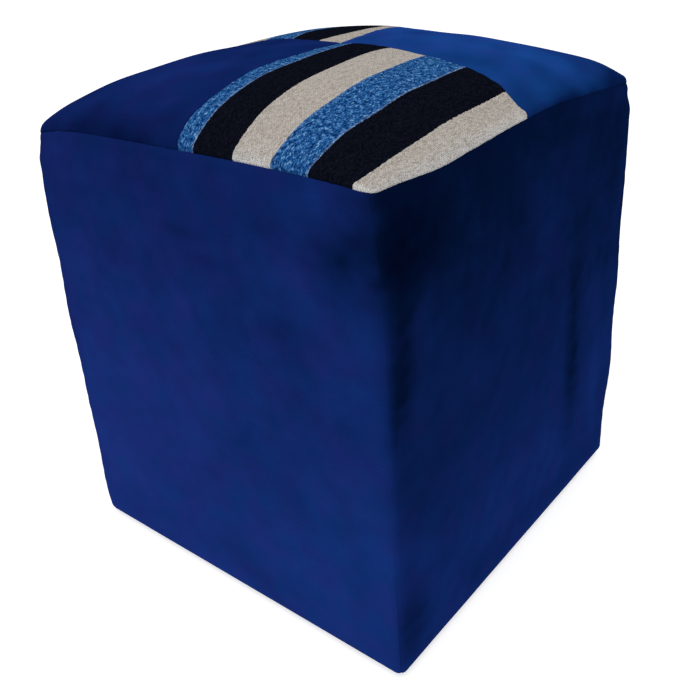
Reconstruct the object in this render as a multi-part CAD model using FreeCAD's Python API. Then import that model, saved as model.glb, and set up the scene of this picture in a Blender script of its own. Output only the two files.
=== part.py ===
import FreeCAD, Part

import math
import os

# A cube pouf: a softwood frame boxed in hardboard, padded with foam and dressed in a sewn cover.
# Millimetres, +Z up. The origin is on the floor under the middle, and the front is -Y.

# Frame
FRAME_WIDTH = 362.0  # over the posts, both ways
FRAME_HEIGHT = 344.0  # underside of the posts to the top of the deck
POST_WIDTH = 35.0
RAIL_THICKNESS = 20.0
RAIL_HEIGHT = 45.0
DECK_THICKNESS = 12.0
BOARD_THICKNESS = 3.0

# Padding
SIDE_FOAM_THICKNESS = 6.0  # at the corners, where the foam is thinnest
SIDE_BULGE = 3.0  # how far the middle of a side stands out past its corners
CORNER_SWELL = 1.8  # how far the corners stand out at half height
SLAB_THICKNESS = 50.0
PAD_RIM_THICKNESS = 3.0  # crown pad at its thinnest, at the corners
WADDING_THICKNESS = 6.0
CROWN_RISE = 45.5  # middle of the seat above the middle of an edge
EDGE_BOW = 6.0  # middle of an edge above its corners
CROWN_FULLNESS = 4.0  # power of the crown's fall: 2 is a plain dome, more is flatter in the middle
SHOULDER = 0.7  # share of the half width where the crown's top arc meets its shoulder arc

# Cover
VELVET_THICKNESS = 1.5
STRIPED_THICKNESS = 1.8
CORNER_RADIUS = 12.0
SEAM_DRAW = 3.5  # how far the top seam pulls the sides in
SEAM_DRAW_HEIGHT = 25.0  # height over which it pulls them in
RIM_HEIGHT = 3.0  # upright edge of the top cover above the top seam
HEM_RADIUS = 6.0  # roll of the cover under the frame
HEM_WIDTH = 45.0  # cover turned under the frame, from the outside
CROSS_SEAM_X = 5.0  # where the front-to-back seam crosses the middle
CROSS_SEAM_Y = 3.0  # where the left-to-right seam crosses the middle
SEAM_GAP = 0.4  # between two panels that are sewn edge to edge
LAYER_GAP = 0.3  # between two soft layers

# Underside
GLIDE_DIAMETER = 22.0
GLIDE_HEIGHT = 4.0
GLIDE_ROUND = 1.0
DUST_COVER_THICKNESS = 0.6
DUST_COVER_INSET = 8.0  # from the outside of the frame

# Fasteners
SCREW_DIAMETER = 4.0
SCREW_HEAD_DIAMETER = 8.0
SCREW_HEAD_DEPTH = 3.0
SCREW_POINT_DIAMETER = 0.8
SCREW_POINT_LENGTH = 6.0
DECK_SCREW_BITE = 28.0  # into the rails and posts
DECK_SCREW_SPACING = 160.0  # along a rail
RAIL_SCREW_BITE = 25.0  # into the end of a rail
RAIL_SCREW_EDGE = 10.0  # lowest screw above the underside of its rail
RAIL_SCREW_SPACING = 18.0
RAIL_SCREW_STAGGER = 6.0  # keeps the screws of two rails apart in their post
STAPLE_CROWN = 10.0
STAPLE_WIDTH = 1.2
STAPLE_WIRE = 0.6
STAPLE_LEG = 10.0
STAPLE_END_MARGIN = 10.0  # from the points of the rail screws to the first staple
BOARD_STAPLES = 4  # along each rail, and up each post
HEM_STAPLES = 8  # along each side
HEM_STAPLE_INSET = 9.0  # from the outside of the frame
DUST_STAPLES = 7  # along each side
DUST_STAPLE_INSET = 16.0  # from the outside of the frame
NAIL_DIAMETER = 2.8
NAIL_HEAD_DIAMETER = 6.0
NAIL_HEAD_THICKNESS = 1.0
NAIL_HEAD_DEPTH = 1.2  # nail head above the floor
NAIL_BITE = 16.0  # into the post

# Heights and half widths that follow from the stack of layers
Z_DUST = GLIDE_HEIGHT
Z_HEM = Z_DUST + DUST_COVER_THICKNESS
Z_FRAME = Z_HEM + VELVET_THICKNESS
Z_DECK_TOP = Z_FRAME + FRAME_HEIGHT
Z_SLAB_TOP = Z_DECK_TOP + SLAB_THICKNESS
WADDING_INSET = STRIPED_THICKNESS + LAYER_GAP
PAD_INSET = WADDING_INSET + WADDING_THICKNESS + LAYER_GAP
Z_EDGE = Z_SLAB_TOP + PAD_RIM_THICKNESS + PAD_INSET
Z_SEAM = Z_EDGE - RIM_HEIGHT
Z_TOP = Z_EDGE + EDGE_BOW + CROWN_RISE
FRAME_HALF = FRAME_WIDTH / 2
RAIL_HALF = FRAME_HALF - POST_WIDTH
RAIL_LINE = FRAME_HALF - RAIL_THICKNESS / 2
POST_LINE = FRAME_HALF - POST_WIDTH / 2
BOARD_HALF = FRAME_HALF + BOARD_THICKNESS
PADDING_INSET = VELVET_THICKNESS + LAYER_GAP
COVER_HALF = BOARD_HALF + SIDE_FOAM_THICKNESS + PADDING_INSET
SEAM_HALF = COVER_HALF - SEAM_DRAW
STAPLE_REACH = RAIL_HALF - RAIL_SCREW_BITE - STAPLE_END_MARGIN
Z_TOP_RAIL = Z_DECK_TOP - DECK_THICKNESS - RAIL_HEIGHT

# Construction aids
OVERCUT = 2.0  # how far a cutting shape passes the face that it cuts
LEAST_BOW = 0.5  # flattest arc of a side
LEAST_RADIUS = 1.0  # tightest corner of an inner layer
HEM_ROLL_STEPS = (0, 30, 60, 90)  # degrees round the hem's roll
SIDE_STEPS = 10  # spans up a side, shorter towards its ends
DRAW_STEPS = (0, 1 / 3, 2 / 3, 1)  # shares of the drawn-in height
CROWN_STEPS = (-1, -0.88, -0.66, -0.36, 0, 0.36, 0.66, 0.88, 1)  # shares of the crown's half depth

SIDES = ("front", "right", "back", "left")  # each a quarter turn on from the last
CORNERS = ("front_right", "back_right", "back_left", "front_left")
UP = FreeCAD.Vector(0, 0, 1)
CENTRE = FreeCAD.Vector(0, 0, 0)


def vec(x, y, z):
    return FreeCAD.Vector(x, y, z)


def block(low, high):
    """Box between two opposite corners."""
    size = [top - bottom for bottom, top in zip(low, high)]
    return Part.makeBox(*size, vec(*low))


def layer(z_low, z_high):
    """Box wider than the pouf between two heights, to trim with."""
    reach = 2 * COVER_HALF
    return block((-reach, -reach, z_low), (reach, reach, z_high))


def turned(shape, quarters):
    return shape.rotated(CENTRE, UP, 90 * quarters)


def placed(shape, point, direction):
    """Shape made along +Z at the origin, moved to a point and turned to a direction."""
    moved = shape.copy()
    moved.Placement = FreeCAD.Placement(point, FreeCAD.Rotation(UP, direction))
    return moved


def spread(count, reach):
    """Evenly spaced places from -reach to reach."""
    return [reach * (2 * i / (count - 1) - 1) for i in range(count)]


def less(shape, cutters):
    """Shape with every cutter that comes near it taken out."""
    near = [c for c in cutters if c.BoundBox.intersect(shape.BoundBox)]
    return shape.cut(near) if near else shape


# The cover's outline, shared by every layer behind it

def rounded_square(half, radius, bow, z):
    """Closed wire at one height: four shallow side arcs joined by four corner arcs."""
    straight = half - radius
    diagonal = straight + radius * math.sqrt(0.5)
    side = Part.Arc(vec(-straight, -half, z), vec(0, -half - bow, z), vec(straight, -half, z))
    corner = Part.Arc(vec(straight, -half, z), vec(diagonal, -diagonal, z), vec(half, -straight, z))
    edges = [turned(arc.toShape(), i) for i in range(4) for arc in (side, corner)]
    return Part.Wire(edges)


def side_levels(inset):
    """Height and pull-in of the sides, from the hem's roll up past the top seam."""
    roll = HEM_RADIUS - inset
    levels = []
    for degrees in HEM_ROLL_STEPS:
        angle = math.radians(degrees)
        z = Z_HEM + HEM_RADIUS - roll * math.cos(angle)
        levels.append((z, inset + roll * (1 - math.sin(angle))))
    z_low = Z_HEM + HEM_RADIUS
    z_high = Z_SEAM - SEAM_DRAW_HEIGHT
    for step in range(1, SIDE_STEPS):
        share = (1 - math.cos(math.pi * step / SIDE_STEPS)) / 2
        levels.append((z_low + share * (z_high - z_low), inset))
    for share in DRAW_STEPS:
        ease = share * share * (3 - 2 * share)
        levels.append((z_high + share * SEAM_DRAW_HEIGHT, inset + ease * SEAM_DRAW))
    return levels


def side_block(inset, overshoot):
    """Solid inside the sides, inset from their outer face, ending above the highest point of the seam."""
    levels = side_levels(inset)
    levels.append((Z_SEAM + EDGE_BOW + RIM_HEIGHT + overshoot, inset + SEAM_DRAW))
    radius = max(CORNER_RADIUS - inset, LEAST_RADIUS)
    wires = []
    for z, pull in levels:
        share = min(max((z - Z_HEM) / (Z_SEAM - Z_HEM), 0), 1)
        swell = math.sin(math.pi * share)
        half = COVER_HALF + CORNER_SWELL * swell - pull
        wires.append(rounded_square(half, radius, max(SIDE_BULGE * swell, LEAST_BOW), z))
    return Part.makeLoft(wires, True, False)


def crown_section(half, y, z_base, z_side, rise):
    """Closed wire across the seat: a base, two uprights past its edges, a top arc and two shoulder arcs.

    The shoulder arcs are tangent to the top arc. They pass through the edges, at half to each side and the
    height z_side, and run on to the uprights.
    """
    z_top = z_side + rise
    shoulder = half * SHOULDER
    top_drop = rise * SHOULDER**CROWN_FULLNESS
    z_shoulder = z_top - top_drop
    run, drop = half - shoulder, z_shoulder - z_side
    slope_in = 2 * math.atan2(top_drop, shoulder)
    half_turn = math.atan2(drop, run) - slope_in
    radius = math.hypot(run, drop) / (2 * math.sin(half_turn))
    x_centre = shoulder - radius * math.sin(slope_in)
    z_centre = z_shoulder - radius * math.cos(slope_in)
    reach = half + OVERCUT
    slope_out = math.asin((reach - x_centre) / radius)
    slope_mid = (slope_in + slope_out) / 2
    x_mid, z_mid = x_centre + radius * math.sin(slope_mid), z_centre + radius * math.cos(slope_mid)
    z_out = z_centre + radius * math.cos(slope_out)
    left_low, right_low = vec(-reach, y, z_base), vec(reach, y, z_base)
    left, right = vec(-reach, y, z_out), vec(reach, y, z_out)
    left_top, right_top = vec(-shoulder, y, z_shoulder), vec(shoulder, y, z_shoulder)
    curves = [
        Part.LineSegment(left_low, right_low),
        Part.LineSegment(right_low, right),
        Part.Arc(right, vec(x_mid, y, z_mid), right_top),
        Part.Arc(right_top, vec(0, y, z_top), left_top),
        Part.Arc(left_top, vec(-x_mid, y, z_mid), left),
        Part.LineSegment(left, left_low),
    ]
    return Part.Wire([curve.toShape() for curve in curves])


def crown_block(inset, z_base):
    """Solid under the crowned seat, inset from the top cover's outer face, with rounded corners.

    The crown is made a little too wide and too deep, and an upright prism cuts it to size.
    """
    half = SEAM_HALF - inset
    wires = []
    for step in CROWN_STEPS:
        y = step * (half + OVERCUT)
        share = abs(y) / half
        z_side = Z_EDGE - inset + EDGE_BOW * (1 - share**2)
        rise = EDGE_BOW * share**2 + CROWN_RISE * (1 - share**CROWN_FULLNESS)
        wires.append(crown_section(half, y, z_base - OVERCUT, z_side, rise))
    crown = Part.makeLoft(wires, True, False)
    prism = block((-half, -half, z_base), (half, half, Z_TOP + OVERCUT))
    uprights = [e for e in prism.Edges if abs(e.tangentAt(e.FirstParameter).z) > 0.5]
    return crown.common(prism.makeFillet(max(CORNER_RADIUS - inset, LEAST_RADIUS), uprights))


def seam_block(lift):
    """Solid below the top seam, raised by lift. Its top is a large sphere, so the seam bows up all round."""
    radius = SEAM_HALF**2 / (2 * EDGE_BOW)
    z_crest = Z_SEAM + 2 * EDGE_BOW + lift
    sphere = Part.makeSphere(radius, vec(0, 0, z_crest - radius))
    return sphere.common(layer(-OVERCUT, z_crest + OVERCUT))


def side_wedge(quarters):
    """Upright wedge that holds one side of the pouf, clear of the corner seams by half the seam gap."""
    reach = 2 * COVER_HALF
    shift = SEAM_GAP / 2 * math.sqrt(2)
    corners = [vec(0, -shift, 0), vec(-reach, -reach - shift, 0), vec(reach, -reach - shift, 0)]
    face = Part.Face(Part.makePolygon(corners + corners[:1]))
    return turned(face.extrude(vec(0, 0, Z_TOP + OVERCUT)), quarters)


# Fasteners

def screw(length):
    """Countersunk wood screw along +Z, with its head's face at the origin."""
    radius = SCREW_DIAMETER / 2
    shank = length - SCREW_HEAD_DEPTH - SCREW_POINT_LENGTH
    head = Part.makeCone(SCREW_HEAD_DIAMETER / 2, radius, SCREW_HEAD_DEPTH)
    body = Part.makeCylinder(radius, shank, vec(0, 0, SCREW_HEAD_DEPTH))
    z_point = SCREW_HEAD_DEPTH + shank
    point = Part.makeCone(radius, SCREW_POINT_DIAMETER / 2, SCREW_POINT_LENGTH, vec(0, 0, z_point))
    return head.fuse([body, point]).removeSplitter()


def staple():
    """Upholstery staple with its crown along X and its legs along +Z."""
    across, wide = STAPLE_CROWN / 2, STAPLE_WIDTH / 2
    crown = block((-across, -wide, 0), (across, wide, STAPLE_WIRE))
    left = block((-across, -wide, 0), (-across + STAPLE_WIRE, wide, STAPLE_LEG))
    right = block((across - STAPLE_WIRE, -wide, 0), (across, wide, STAPLE_LEG))
    return crown.fuse([left, right]).removeSplitter()


def make_deck_screws():
    length = DECK_THICKNESS + DECK_SCREW_BITE
    places = [vec(x, -RAIL_LINE, Z_DECK_TOP) for x in spread(2, DECK_SCREW_SPACING / 2)]
    places.append(vec(POST_LINE, -POST_LINE, Z_DECK_TOP))
    screws = [placed(screw(length), place, -UP) for place in places]
    return [turned(one, quarters) for quarters in range(4) for one in screws]


def make_rail_screws():
    screws = []
    for quarters in range(4):
        stagger = RAIL_SCREW_STAGGER * (quarters % 2)
        for z_rail in (Z_FRAME, Z_TOP_RAIL):
            for z in (RAIL_SCREW_EDGE, RAIL_SCREW_EDGE + RAIL_SCREW_SPACING):
                for end in (-1, 1):
                    place = vec(end * FRAME_HALF, -RAIL_LINE, z_rail + z + stagger)
                    one = placed(screw(POST_WIDTH + RAIL_SCREW_BITE), place, vec(-end, 0, 0))
                    screws.append(turned(one, quarters))
    return screws


def make_board_staples():
    """Staples through each side board into the rails and posts behind it, with their crowns flush."""
    z_rails = [z + RAIL_HEIGHT / 2 for z in (Z_FRAME, Z_TOP_RAIL)]
    places = [(x, z) for z in z_rails for x in spread(BOARD_STAPLES, STAPLE_REACH)]
    z_middle = sum(z_rails) / 2
    post_reach = z_rails[1] - z_middle - RAIL_HEIGHT
    for x in (-POST_LINE, POST_LINE):
        places += [(x, z_middle + z) for z in spread(BOARD_STAPLES, post_reach)]
    staples = []
    for x, z in places:
        upright = staple().rotated(CENTRE, vec(1, 0, 0), -90)
        staples.append(upright.translated(vec(x, -BOARD_HALF, z)))
    return [turned(one, quarters) for quarters in range(4) for one in staples]


def make_underside_staples(count, inset, z_crown):
    """Rows of staples driven up into the bottom rails."""
    row = [staple().translated(vec(x, inset - FRAME_HALF, z_crown)) for x in spread(count, STAPLE_REACH)]
    return [turned(one, quarters) for quarters in range(4) for one in row]


def make_glide_nails():
    z_head = NAIL_HEAD_DEPTH
    z_shank = z_head + NAIL_HEAD_THICKNESS
    place = vec(POST_LINE, -POST_LINE, z_head)
    head = Part.makeCylinder(NAIL_HEAD_DIAMETER / 2, NAIL_HEAD_THICKNESS, place)
    shank_length = Z_FRAME + NAIL_BITE - z_shank
    shank = Part.makeCylinder(NAIL_DIAMETER / 2, shank_length, vec(place.x, place.y, z_shank))
    nail = head.fuse(shank).removeSplitter()
    return [turned(nail, quarters) for quarters in range(4)]


# Frame

def make_post():
    """Front right corner post, from the hem up to the deck."""
    low = (RAIL_HALF, -FRAME_HALF, Z_FRAME)
    return block(low, (FRAME_HALF, -RAIL_HALF, Z_DECK_TOP - DECK_THICKNESS))


def make_rail(z_low):
    """Front rail between two posts, flush with their outside."""
    low = (-RAIL_HALF, -FRAME_HALF, z_low)
    return block(low, (RAIL_HALF, RAIL_THICKNESS - FRAME_HALF, z_low + RAIL_HEIGHT))


def make_deck():
    low = (-FRAME_HALF, -FRAME_HALF, Z_DECK_TOP - DECK_THICKNESS)
    return block(low, (FRAME_HALF, FRAME_HALF, Z_DECK_TOP))


def make_board(quarters):
    """Front side board. The front and back boards lap the edges of the left and right ones."""
    reach = FRAME_HALF if quarters % 2 else BOARD_HALF
    return block((-reach, -BOARD_HALF, Z_FRAME), (reach, -FRAME_HALF, Z_DECK_TOP))


# Padding

def make_side_foams():
    """Foam sheets between the boards and the cover, mitred at the corners."""
    ring = side_block(PADDING_INSET, OVERCUT).common(layer(Z_FRAME, Z_DECK_TOP))
    ring = ring.cut(block((-BOARD_HALF, -BOARD_HALF, 0), (BOARD_HALF, BOARD_HALF, Z_TOP)))
    return [ring.common(side_wedge(quarters)) for quarters in range(4)]


def make_slab():
    """Seat slab that lies on the deck and fills the cover out to its sides."""
    return side_block(PADDING_INSET, OVERCUT).common(layer(Z_DECK_TOP, Z_SLAB_TOP))


def make_crown_pad():
    """Crowned pad on the slab, thin at its rim."""
    return crown_block(PAD_INSET, Z_SLAB_TOP)


def make_wadding():
    """Even layer of wadding over the crown pad, down to the slab."""
    outer = crown_block(WADDING_INSET, Z_SLAB_TOP)
    return outer.cut(crown_block(WADDING_INSET + WADDING_THICKNESS, Z_SLAB_TOP - OVERCUT))


# Cover

def make_top_cover(thickness):
    """Crowned cover of one cloth over the whole seat, down to the top seam."""
    z_base = Z_SEAM - OVERCUT
    cover = crown_block(0, z_base).cut(crown_block(thickness, z_base - OVERCUT))
    return cover.cut(seam_block(SEAM_GAP))


def make_patch(top_cover, to_right, to_back):
    """Quarter of a top cover, from the cross seams outwards."""
    reach, gap = 2 * COVER_HALF, SEAM_GAP / 2
    x_range = (CROSS_SEAM_X + gap, reach) if to_right else (-reach, CROSS_SEAM_X - gap)
    y_range = (CROSS_SEAM_Y + gap, reach) if to_back else (-reach, CROSS_SEAM_Y - gap)
    quarter = block((x_range[0], y_range[0], 0), (x_range[1], y_range[1], Z_TOP + OVERCUT))
    return top_cover.common(quarter)


def make_side_covers():
    """Velvet panels from the top seam down the sides and under the frame, mitred at the corners."""
    shell = side_block(0, 0).cut(side_block(VELVET_THICKNESS, OVERCUT))
    inner = COVER_HALF - HEM_WIDTH
    shell = shell.cut(block((-inner, -inner, 0), (inner, inner, Z_FRAME + OVERCUT)))
    shell = shell.common(seam_block(0))
    return [shell.common(side_wedge(quarters)) for quarters in range(4)]


# Underside

def make_dust_cover():
    half = FRAME_HALF - DUST_COVER_INSET
    return block((-half, -half, Z_DUST), (half, half, Z_HEM))


def make_glide():
    """Front right nail-on glide: a round foot with a sunk hole for its nail."""
    foot = Part.makeCylinder(GLIDE_DIAMETER / 2, GLIDE_HEIGHT, vec(POST_LINE, -POST_LINE, 0))
    rims = [e for e in foot.Edges if e.BoundBox.ZMax < GLIDE_HEIGHT / 2]
    foot = foot.makeFillet(GLIDE_ROUND, rims)
    sunk_depth = NAIL_HEAD_DEPTH + NAIL_HEAD_THICKNESS
    sunk = Part.makeCylinder(NAIL_HEAD_DIAMETER / 2, sunk_depth, vec(POST_LINE, -POST_LINE, 0))
    hole = Part.makeCylinder(NAIL_DIAMETER / 2, GLIDE_HEIGHT, vec(POST_LINE, -POST_LINE, 0))
    return foot.cut([sunk, hole])


def build():
    """Every piece by name."""
    deck_screws = make_deck_screws()
    rail_screws = make_rail_screws()
    board_staples = make_board_staples()
    hem_staples = make_underside_staples(HEM_STAPLES, HEM_STAPLE_INSET, Z_HEM)
    dust_staples = make_underside_staples(DUST_STAPLES, DUST_STAPLE_INSET, Z_DUST - STAPLE_WIRE)
    glide_nails = make_glide_nails()
    underside = hem_staples + dust_staples + glide_nails
    fasteners = deck_screws + rail_screws + board_staples + underside

    striped, plain = make_top_cover(STRIPED_THICKNESS), make_top_cover(VELVET_THICKNESS)
    parts = {
        "seat_deck": less(make_deck(), fasteners),
        "seat_slab": make_slab(),
        "crown_pad": make_crown_pad(),
        "top_wadding": make_wadding(),
        "striped_patch_front_right": make_patch(striped, True, False),
        "striped_patch_back_left": make_patch(striped, False, True),
        "plain_patch_front_left": make_patch(plain, False, False),
        "plain_patch_back_right": make_patch(plain, True, True),
        "dust_cover": less(make_dust_cover(), underside),
        "deck_screws": Part.makeCompound(deck_screws),
        "rail_screws": Part.makeCompound(rail_screws),
        "board_staples": Part.makeCompound(board_staples),
        "hem_staples": Part.makeCompound(hem_staples),
        "dust_cover_staples": Part.makeCompound(dust_staples),
        "glide_nails": Part.makeCompound(glide_nails),
    }
    side_foams, side_covers = make_side_foams(), make_side_covers()
    for quarters, side in enumerate(SIDES):
        parts[f"bottom_rail_{side}"] = less(turned(make_rail(Z_FRAME), quarters), fasteners)
        parts[f"top_rail_{side}"] = less(turned(make_rail(Z_TOP_RAIL), quarters), fasteners)
        parts[f"side_board_{side}"] = less(turned(make_board(quarters), quarters), fasteners)
        parts[f"side_foam_{side}"] = side_foams[quarters]
        parts[f"side_cover_{side}"] = less(side_covers[quarters], underside)
    for quarters, corner in enumerate(CORNERS):
        parts[f"corner_post_{corner}"] = less(turned(make_post(), quarters), fasteners)
        parts[f"glide_{corner}"] = turned(make_glide(), quarters)
    return parts


os.makedirs("parts", exist_ok=True)
for name, shape in build().items():
    shape.exportStep(f"parts/{name}.step")
    box = shape.BoundBox
    size = f"{box.XLength:.1f} x {box.YLength:.1f} x {box.ZLength:.1f} mm"
    volume = f"{shape.Volume / 1000:.2f} cm3"
    print(f"{name}: {len(shape.Solids)} solids, {size}, {volume}, valid {shape.isValid()}")
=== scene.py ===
# %% [markdown]
# # A cube pouf with a patchwork top
# A pouf like this is a pine box with boarded sides, padded with foam and dressed in a velvet cover. The
# cover is sewn like a cushion: four side panels, and a crowned top of four patches, two of them cut from a
# striped flat weave.
#
# Wood, boards, screws, staples and glides come from the construction model as they are and only get a
# finish here. Cloth and padding are made new, because cloth has seams, puckers and a brushed nap that plain
# solids don't have.

# %% Load the frame
import math

import bmesh
import bpy
import numpy as np
from mathutils import Matrix, Vector


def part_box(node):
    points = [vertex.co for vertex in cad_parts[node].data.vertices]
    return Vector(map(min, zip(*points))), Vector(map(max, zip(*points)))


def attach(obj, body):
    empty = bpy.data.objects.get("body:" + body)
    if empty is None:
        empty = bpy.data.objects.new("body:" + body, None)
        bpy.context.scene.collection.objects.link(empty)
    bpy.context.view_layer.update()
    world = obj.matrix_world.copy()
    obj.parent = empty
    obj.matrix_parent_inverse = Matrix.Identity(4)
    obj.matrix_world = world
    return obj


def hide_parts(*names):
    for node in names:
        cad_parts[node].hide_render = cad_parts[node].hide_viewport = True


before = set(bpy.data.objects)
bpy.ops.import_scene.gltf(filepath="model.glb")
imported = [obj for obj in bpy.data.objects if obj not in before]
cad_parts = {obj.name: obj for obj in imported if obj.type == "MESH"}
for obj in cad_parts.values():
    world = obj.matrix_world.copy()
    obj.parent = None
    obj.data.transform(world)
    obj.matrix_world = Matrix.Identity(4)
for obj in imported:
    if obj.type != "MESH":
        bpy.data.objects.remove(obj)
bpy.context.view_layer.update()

# %% [markdown]
# ## Sizes of the cover
# A dressed piece has to lie where its solid lies. So the lines of the cover are read from the boxes of the
# nodes, and only the few sizes that a box can't tell, such as the rounding of the corners, are written down
# as numbers.

# %% Sizes, in metres
MM = 0.001
SIDES = ("front", "right", "back", "left")
SIDE_BULGE = 3 * MM  # how far the middle of a side stands proud of its corners
SIDE_PUFF = 2.6 * MM  # the part of that bulge that the simulation gives
CORNER_SWELL = 1.8 * MM  # how far a corner swells at half height
CORNER_RADIUS = 12 * MM
CORNER_CUT = 1 - math.sqrt(0.5)  # share of its radius by which a round corner falls short of a sharp one
SEAM_DRAW_HEIGHT = 25 * MM  # the part of a side that the top seam pulls in
HEM_WIDTH = 45 * MM  # cloth turned under the base
HEM_RADIUS = 6 * MM
RIM_HEIGHT = 3 * MM  # the top's own edge, turned down to the seam
EDGE_BOW = 6 * MM  # rise of the top seam between its corners
CROWN_RISE = 45.5 * MM
CROWN_PUFF = 0.7 * MM  # the part of that rise that the simulation gives
CROSS_SHIFT = (-3.5 * MM, 3 * MM)  # the cover has crept on its padding, and the crossing with it

side_low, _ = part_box("side_cover_front")
patch_low, patch_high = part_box("striped_patch_front_right")
COVER_HALF = -side_low.y - SIDE_BULGE - CORNER_SWELL
SEAM_HALF = patch_high.x
SEAM_DRAW = COVER_HALF - SEAM_HALF
CROSS_X = (patch_low.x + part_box("plain_patch_front_left")[1].x) / 2 + CROSS_SHIFT[0]
CROSS_Y = (patch_high.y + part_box("plain_patch_back_right")[0].y) / 2 + CROSS_SHIFT[1]
Z_HEM = side_low.z
Z_TOP = patch_high.z
Z_EDGE = Z_TOP - CROWN_RISE - EDGE_BOW
Z_SEAM = Z_EDGE - RIM_HEIGHT
START_BULGE = SIDE_BULGE - SIDE_PUFF
START_RISE = CROWN_RISE - CROWN_PUFF
HEM_FLOOR = HEM_WIDTH - HEM_RADIUS  # the flat part of the cloth under the base
HEM_ARC = math.pi / 2 * HEM_RADIUS
SIDE_LENGTH = HEM_FLOOR + HEM_ARC + Z_SEAM - Z_HEM - HEM_RADIUS
ARC_SHARE = math.pi / 4 * CORNER_RADIUS / (COVER_HALF - CORNER_RADIUS)
W_END = 1 + ARC_SHARE  # a side runs from -W_END to W_END, and is straight from -1 to 1
print("cover half", COVER_HALF, "seam half", SEAM_HALF, "crossing", CROSS_X, CROSS_Y, "seam height", Z_SEAM)

# %% [markdown]
# ## Numbers that shape cloth
# Four small helpers serve every piece. One eases from 0 to 1, one is a bell curve, one crowds grid lines
# towards the seams, where the cloth turns sharply, and one gives soft random relief. Relief could come from
# a noise texture, but as an array it can move the points of two panels by the same amount where they meet,
# so that a seam never opens.

# %% Helpers for curves and relief
SEAM_PULL = 0.9  # how much the lines of a panel's grid crowd towards its seams


def eased(t):
    """Three t squared less two t cubed, held at 0 and 1 outside that range."""
    t = np.clip(t, 0, 1)
    return t * t * (3 - 2 * t)


def bell(t):
    """Bell curve: e to the power of minus t squared."""
    return np.exp(-(t**2))


def crowded(start, stop, count):
    """Steps from start to stop less a sine of one period, so that they are close together at both ends."""
    t = np.linspace(0, 1, count)
    return start + (stop - start) * (t - SEAM_PULL * np.sin(2 * math.pi * t) / (2 * math.pi))


def relief(points, size, seed, waves=24):
    """Sum of sine waves in random directions, about as long as the size, scaled to a spread of about 1."""
    draw = np.random.default_rng(seed)
    ways = draw.normal(size=(3, waves))
    ways *= 2 * math.pi / size * draw.uniform(0.6, 1.6, waves) / np.linalg.norm(ways, axis=0)
    return np.sin(points @ ways + draw.uniform(0, 2 * math.pi, waves)).sum(-1) / math.sqrt(waves / 2)


print("eased", eased(np.linspace(0, 1, 5)), "crowded", crowded(0, 1, 5))

# %% [markdown]
# ## The skin
# Before it is cut into panels, the cover is one skin, worked out as functions of two parameters. In plan it
# is a rounded square. The top seam, which joins the sides and the top, isn't level on a sewn pouf: it bows
# up between the corners, climbs to one front corner and falls to the other. So its height has functions of
# its own, and the sides and the top both follow them.

# %% Outline and top seam
CROWN_FULLNESS = 3.07  # a power: the higher it is, the flatter the middle
CROWN_POWER = 0.63  # below 1, so that the crown drops steeply just inside the seam
CORNER_RISE = 5 * MM  # the top seam climbs to the front right corner
RISE_POWERS = (1.5, 6)  # how fast that dies out to the left and to the back
CORNER_DROP = 5 * MM  # the top seam falls to the front left corner
DROP_POWER = 12
# Waves of the top seam along the right edge: rise, then place and reach as shares of the half width.
RIGHT_WAVES = ((5.8 * MM, 0.25, 0.5), (-2.1 * MM, -0.62, 0.22))
WAVE_POWER = 8  # how fast the waves die out to the left


def edge_line(w, half, radius):
    """One side of a rounded square: straight for w from -1 to 1, then an eighth of a circle at each end."""
    b = np.clip(w, -1, 1)
    turn = (w - b) / ARC_SHARE * math.pi / 4
    along = b * (half - radius) + radius * np.sin(turn)
    out = half - radius + radius * np.cos(turn)
    return along, out, b


def on_side(along, out, z, side):
    """A point of the front, given along and out from the middle, turned by quarters to the named side."""
    c, s = ((1, 0), (0, 1), (-1, 0), (0, -1))[SIDES.index(side)]
    return np.stack(np.broadcast_arrays(along * c + out * s, along * s - out * c, z), axis=-1)


def arch(t, fullness=CROWN_FULLNESS):
    """Fall of the crown from 1 in the middle to 0 at the edge: one less a power of t, to another power."""
    return np.maximum(1 - np.abs(t) ** fullness, 0) ** CROWN_POWER


def seam_lift(side, share):
    """Rise of the top seam along a side: an arch at the front and back, a parabola at the right and left."""
    return EDGE_BOW * (arch(share) if side in ("front", "back") else 1 - share**2)


def uneven_seam(x_share, y_share):
    """Unevenness of the top seam: a rise and a drop at two corners, and waves along the right edge.

    Rise and drop are products of powers of the nearness to two sides. The waves are a sum of bell curves.
    """
    to_right = np.clip((1 + x_share) / 2, 0, 1)
    to_front = np.clip((1 - y_share) / 2, 0, 1)
    corners = CORNER_RISE * to_right ** RISE_POWERS[0] * to_front ** RISE_POWERS[1]
    corners = corners - CORNER_DROP * ((1 - to_right) * to_front) ** DROP_POWER
    waves = sum(rise * bell((y_share - place) / reach) for rise, place, reach in RIGHT_WAVES)
    return corners + to_right**WAVE_POWER * waves


# %% [markdown]
# A side is a profile carried along one side of the rounded square: flat under the base, round the hem, up
# the wall with a slight bulge, and in again to the top seam. Its corners are sharper at the base, where the
# cloth is pulled tight over a post.

# %% Sides of the skin
BASE_RADIUS = 7 * MM
BASE_RADIUS_LEFT = 16 * MM  # the front left corner is padded rounder
LIFT_POWER = 3  # how fast the rise of the top seam dies out down a side


def height_share(z):
    """Share of the way up from the hem to the top seam, held between 0 and 1."""
    return np.clip((z - Z_HEM) / (Z_SEAM - Z_HEM), 0, 1)


def wall_line(z):
    """Half width of the wall at its corners, and how far its middle stands proud, at a height.

    Both swell as a sine from hem to seam, and the last stretch eases in to the seam.
    """
    swell = np.sin(math.pi * height_share(z))
    draw = SEAM_DRAW * eased((z - Z_SEAM + SEAM_DRAW_HEIGHT) / SEAM_DRAW_HEIGHT)
    return COVER_HALF + CORNER_SWELL * swell - draw, START_BULGE * swell


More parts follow.
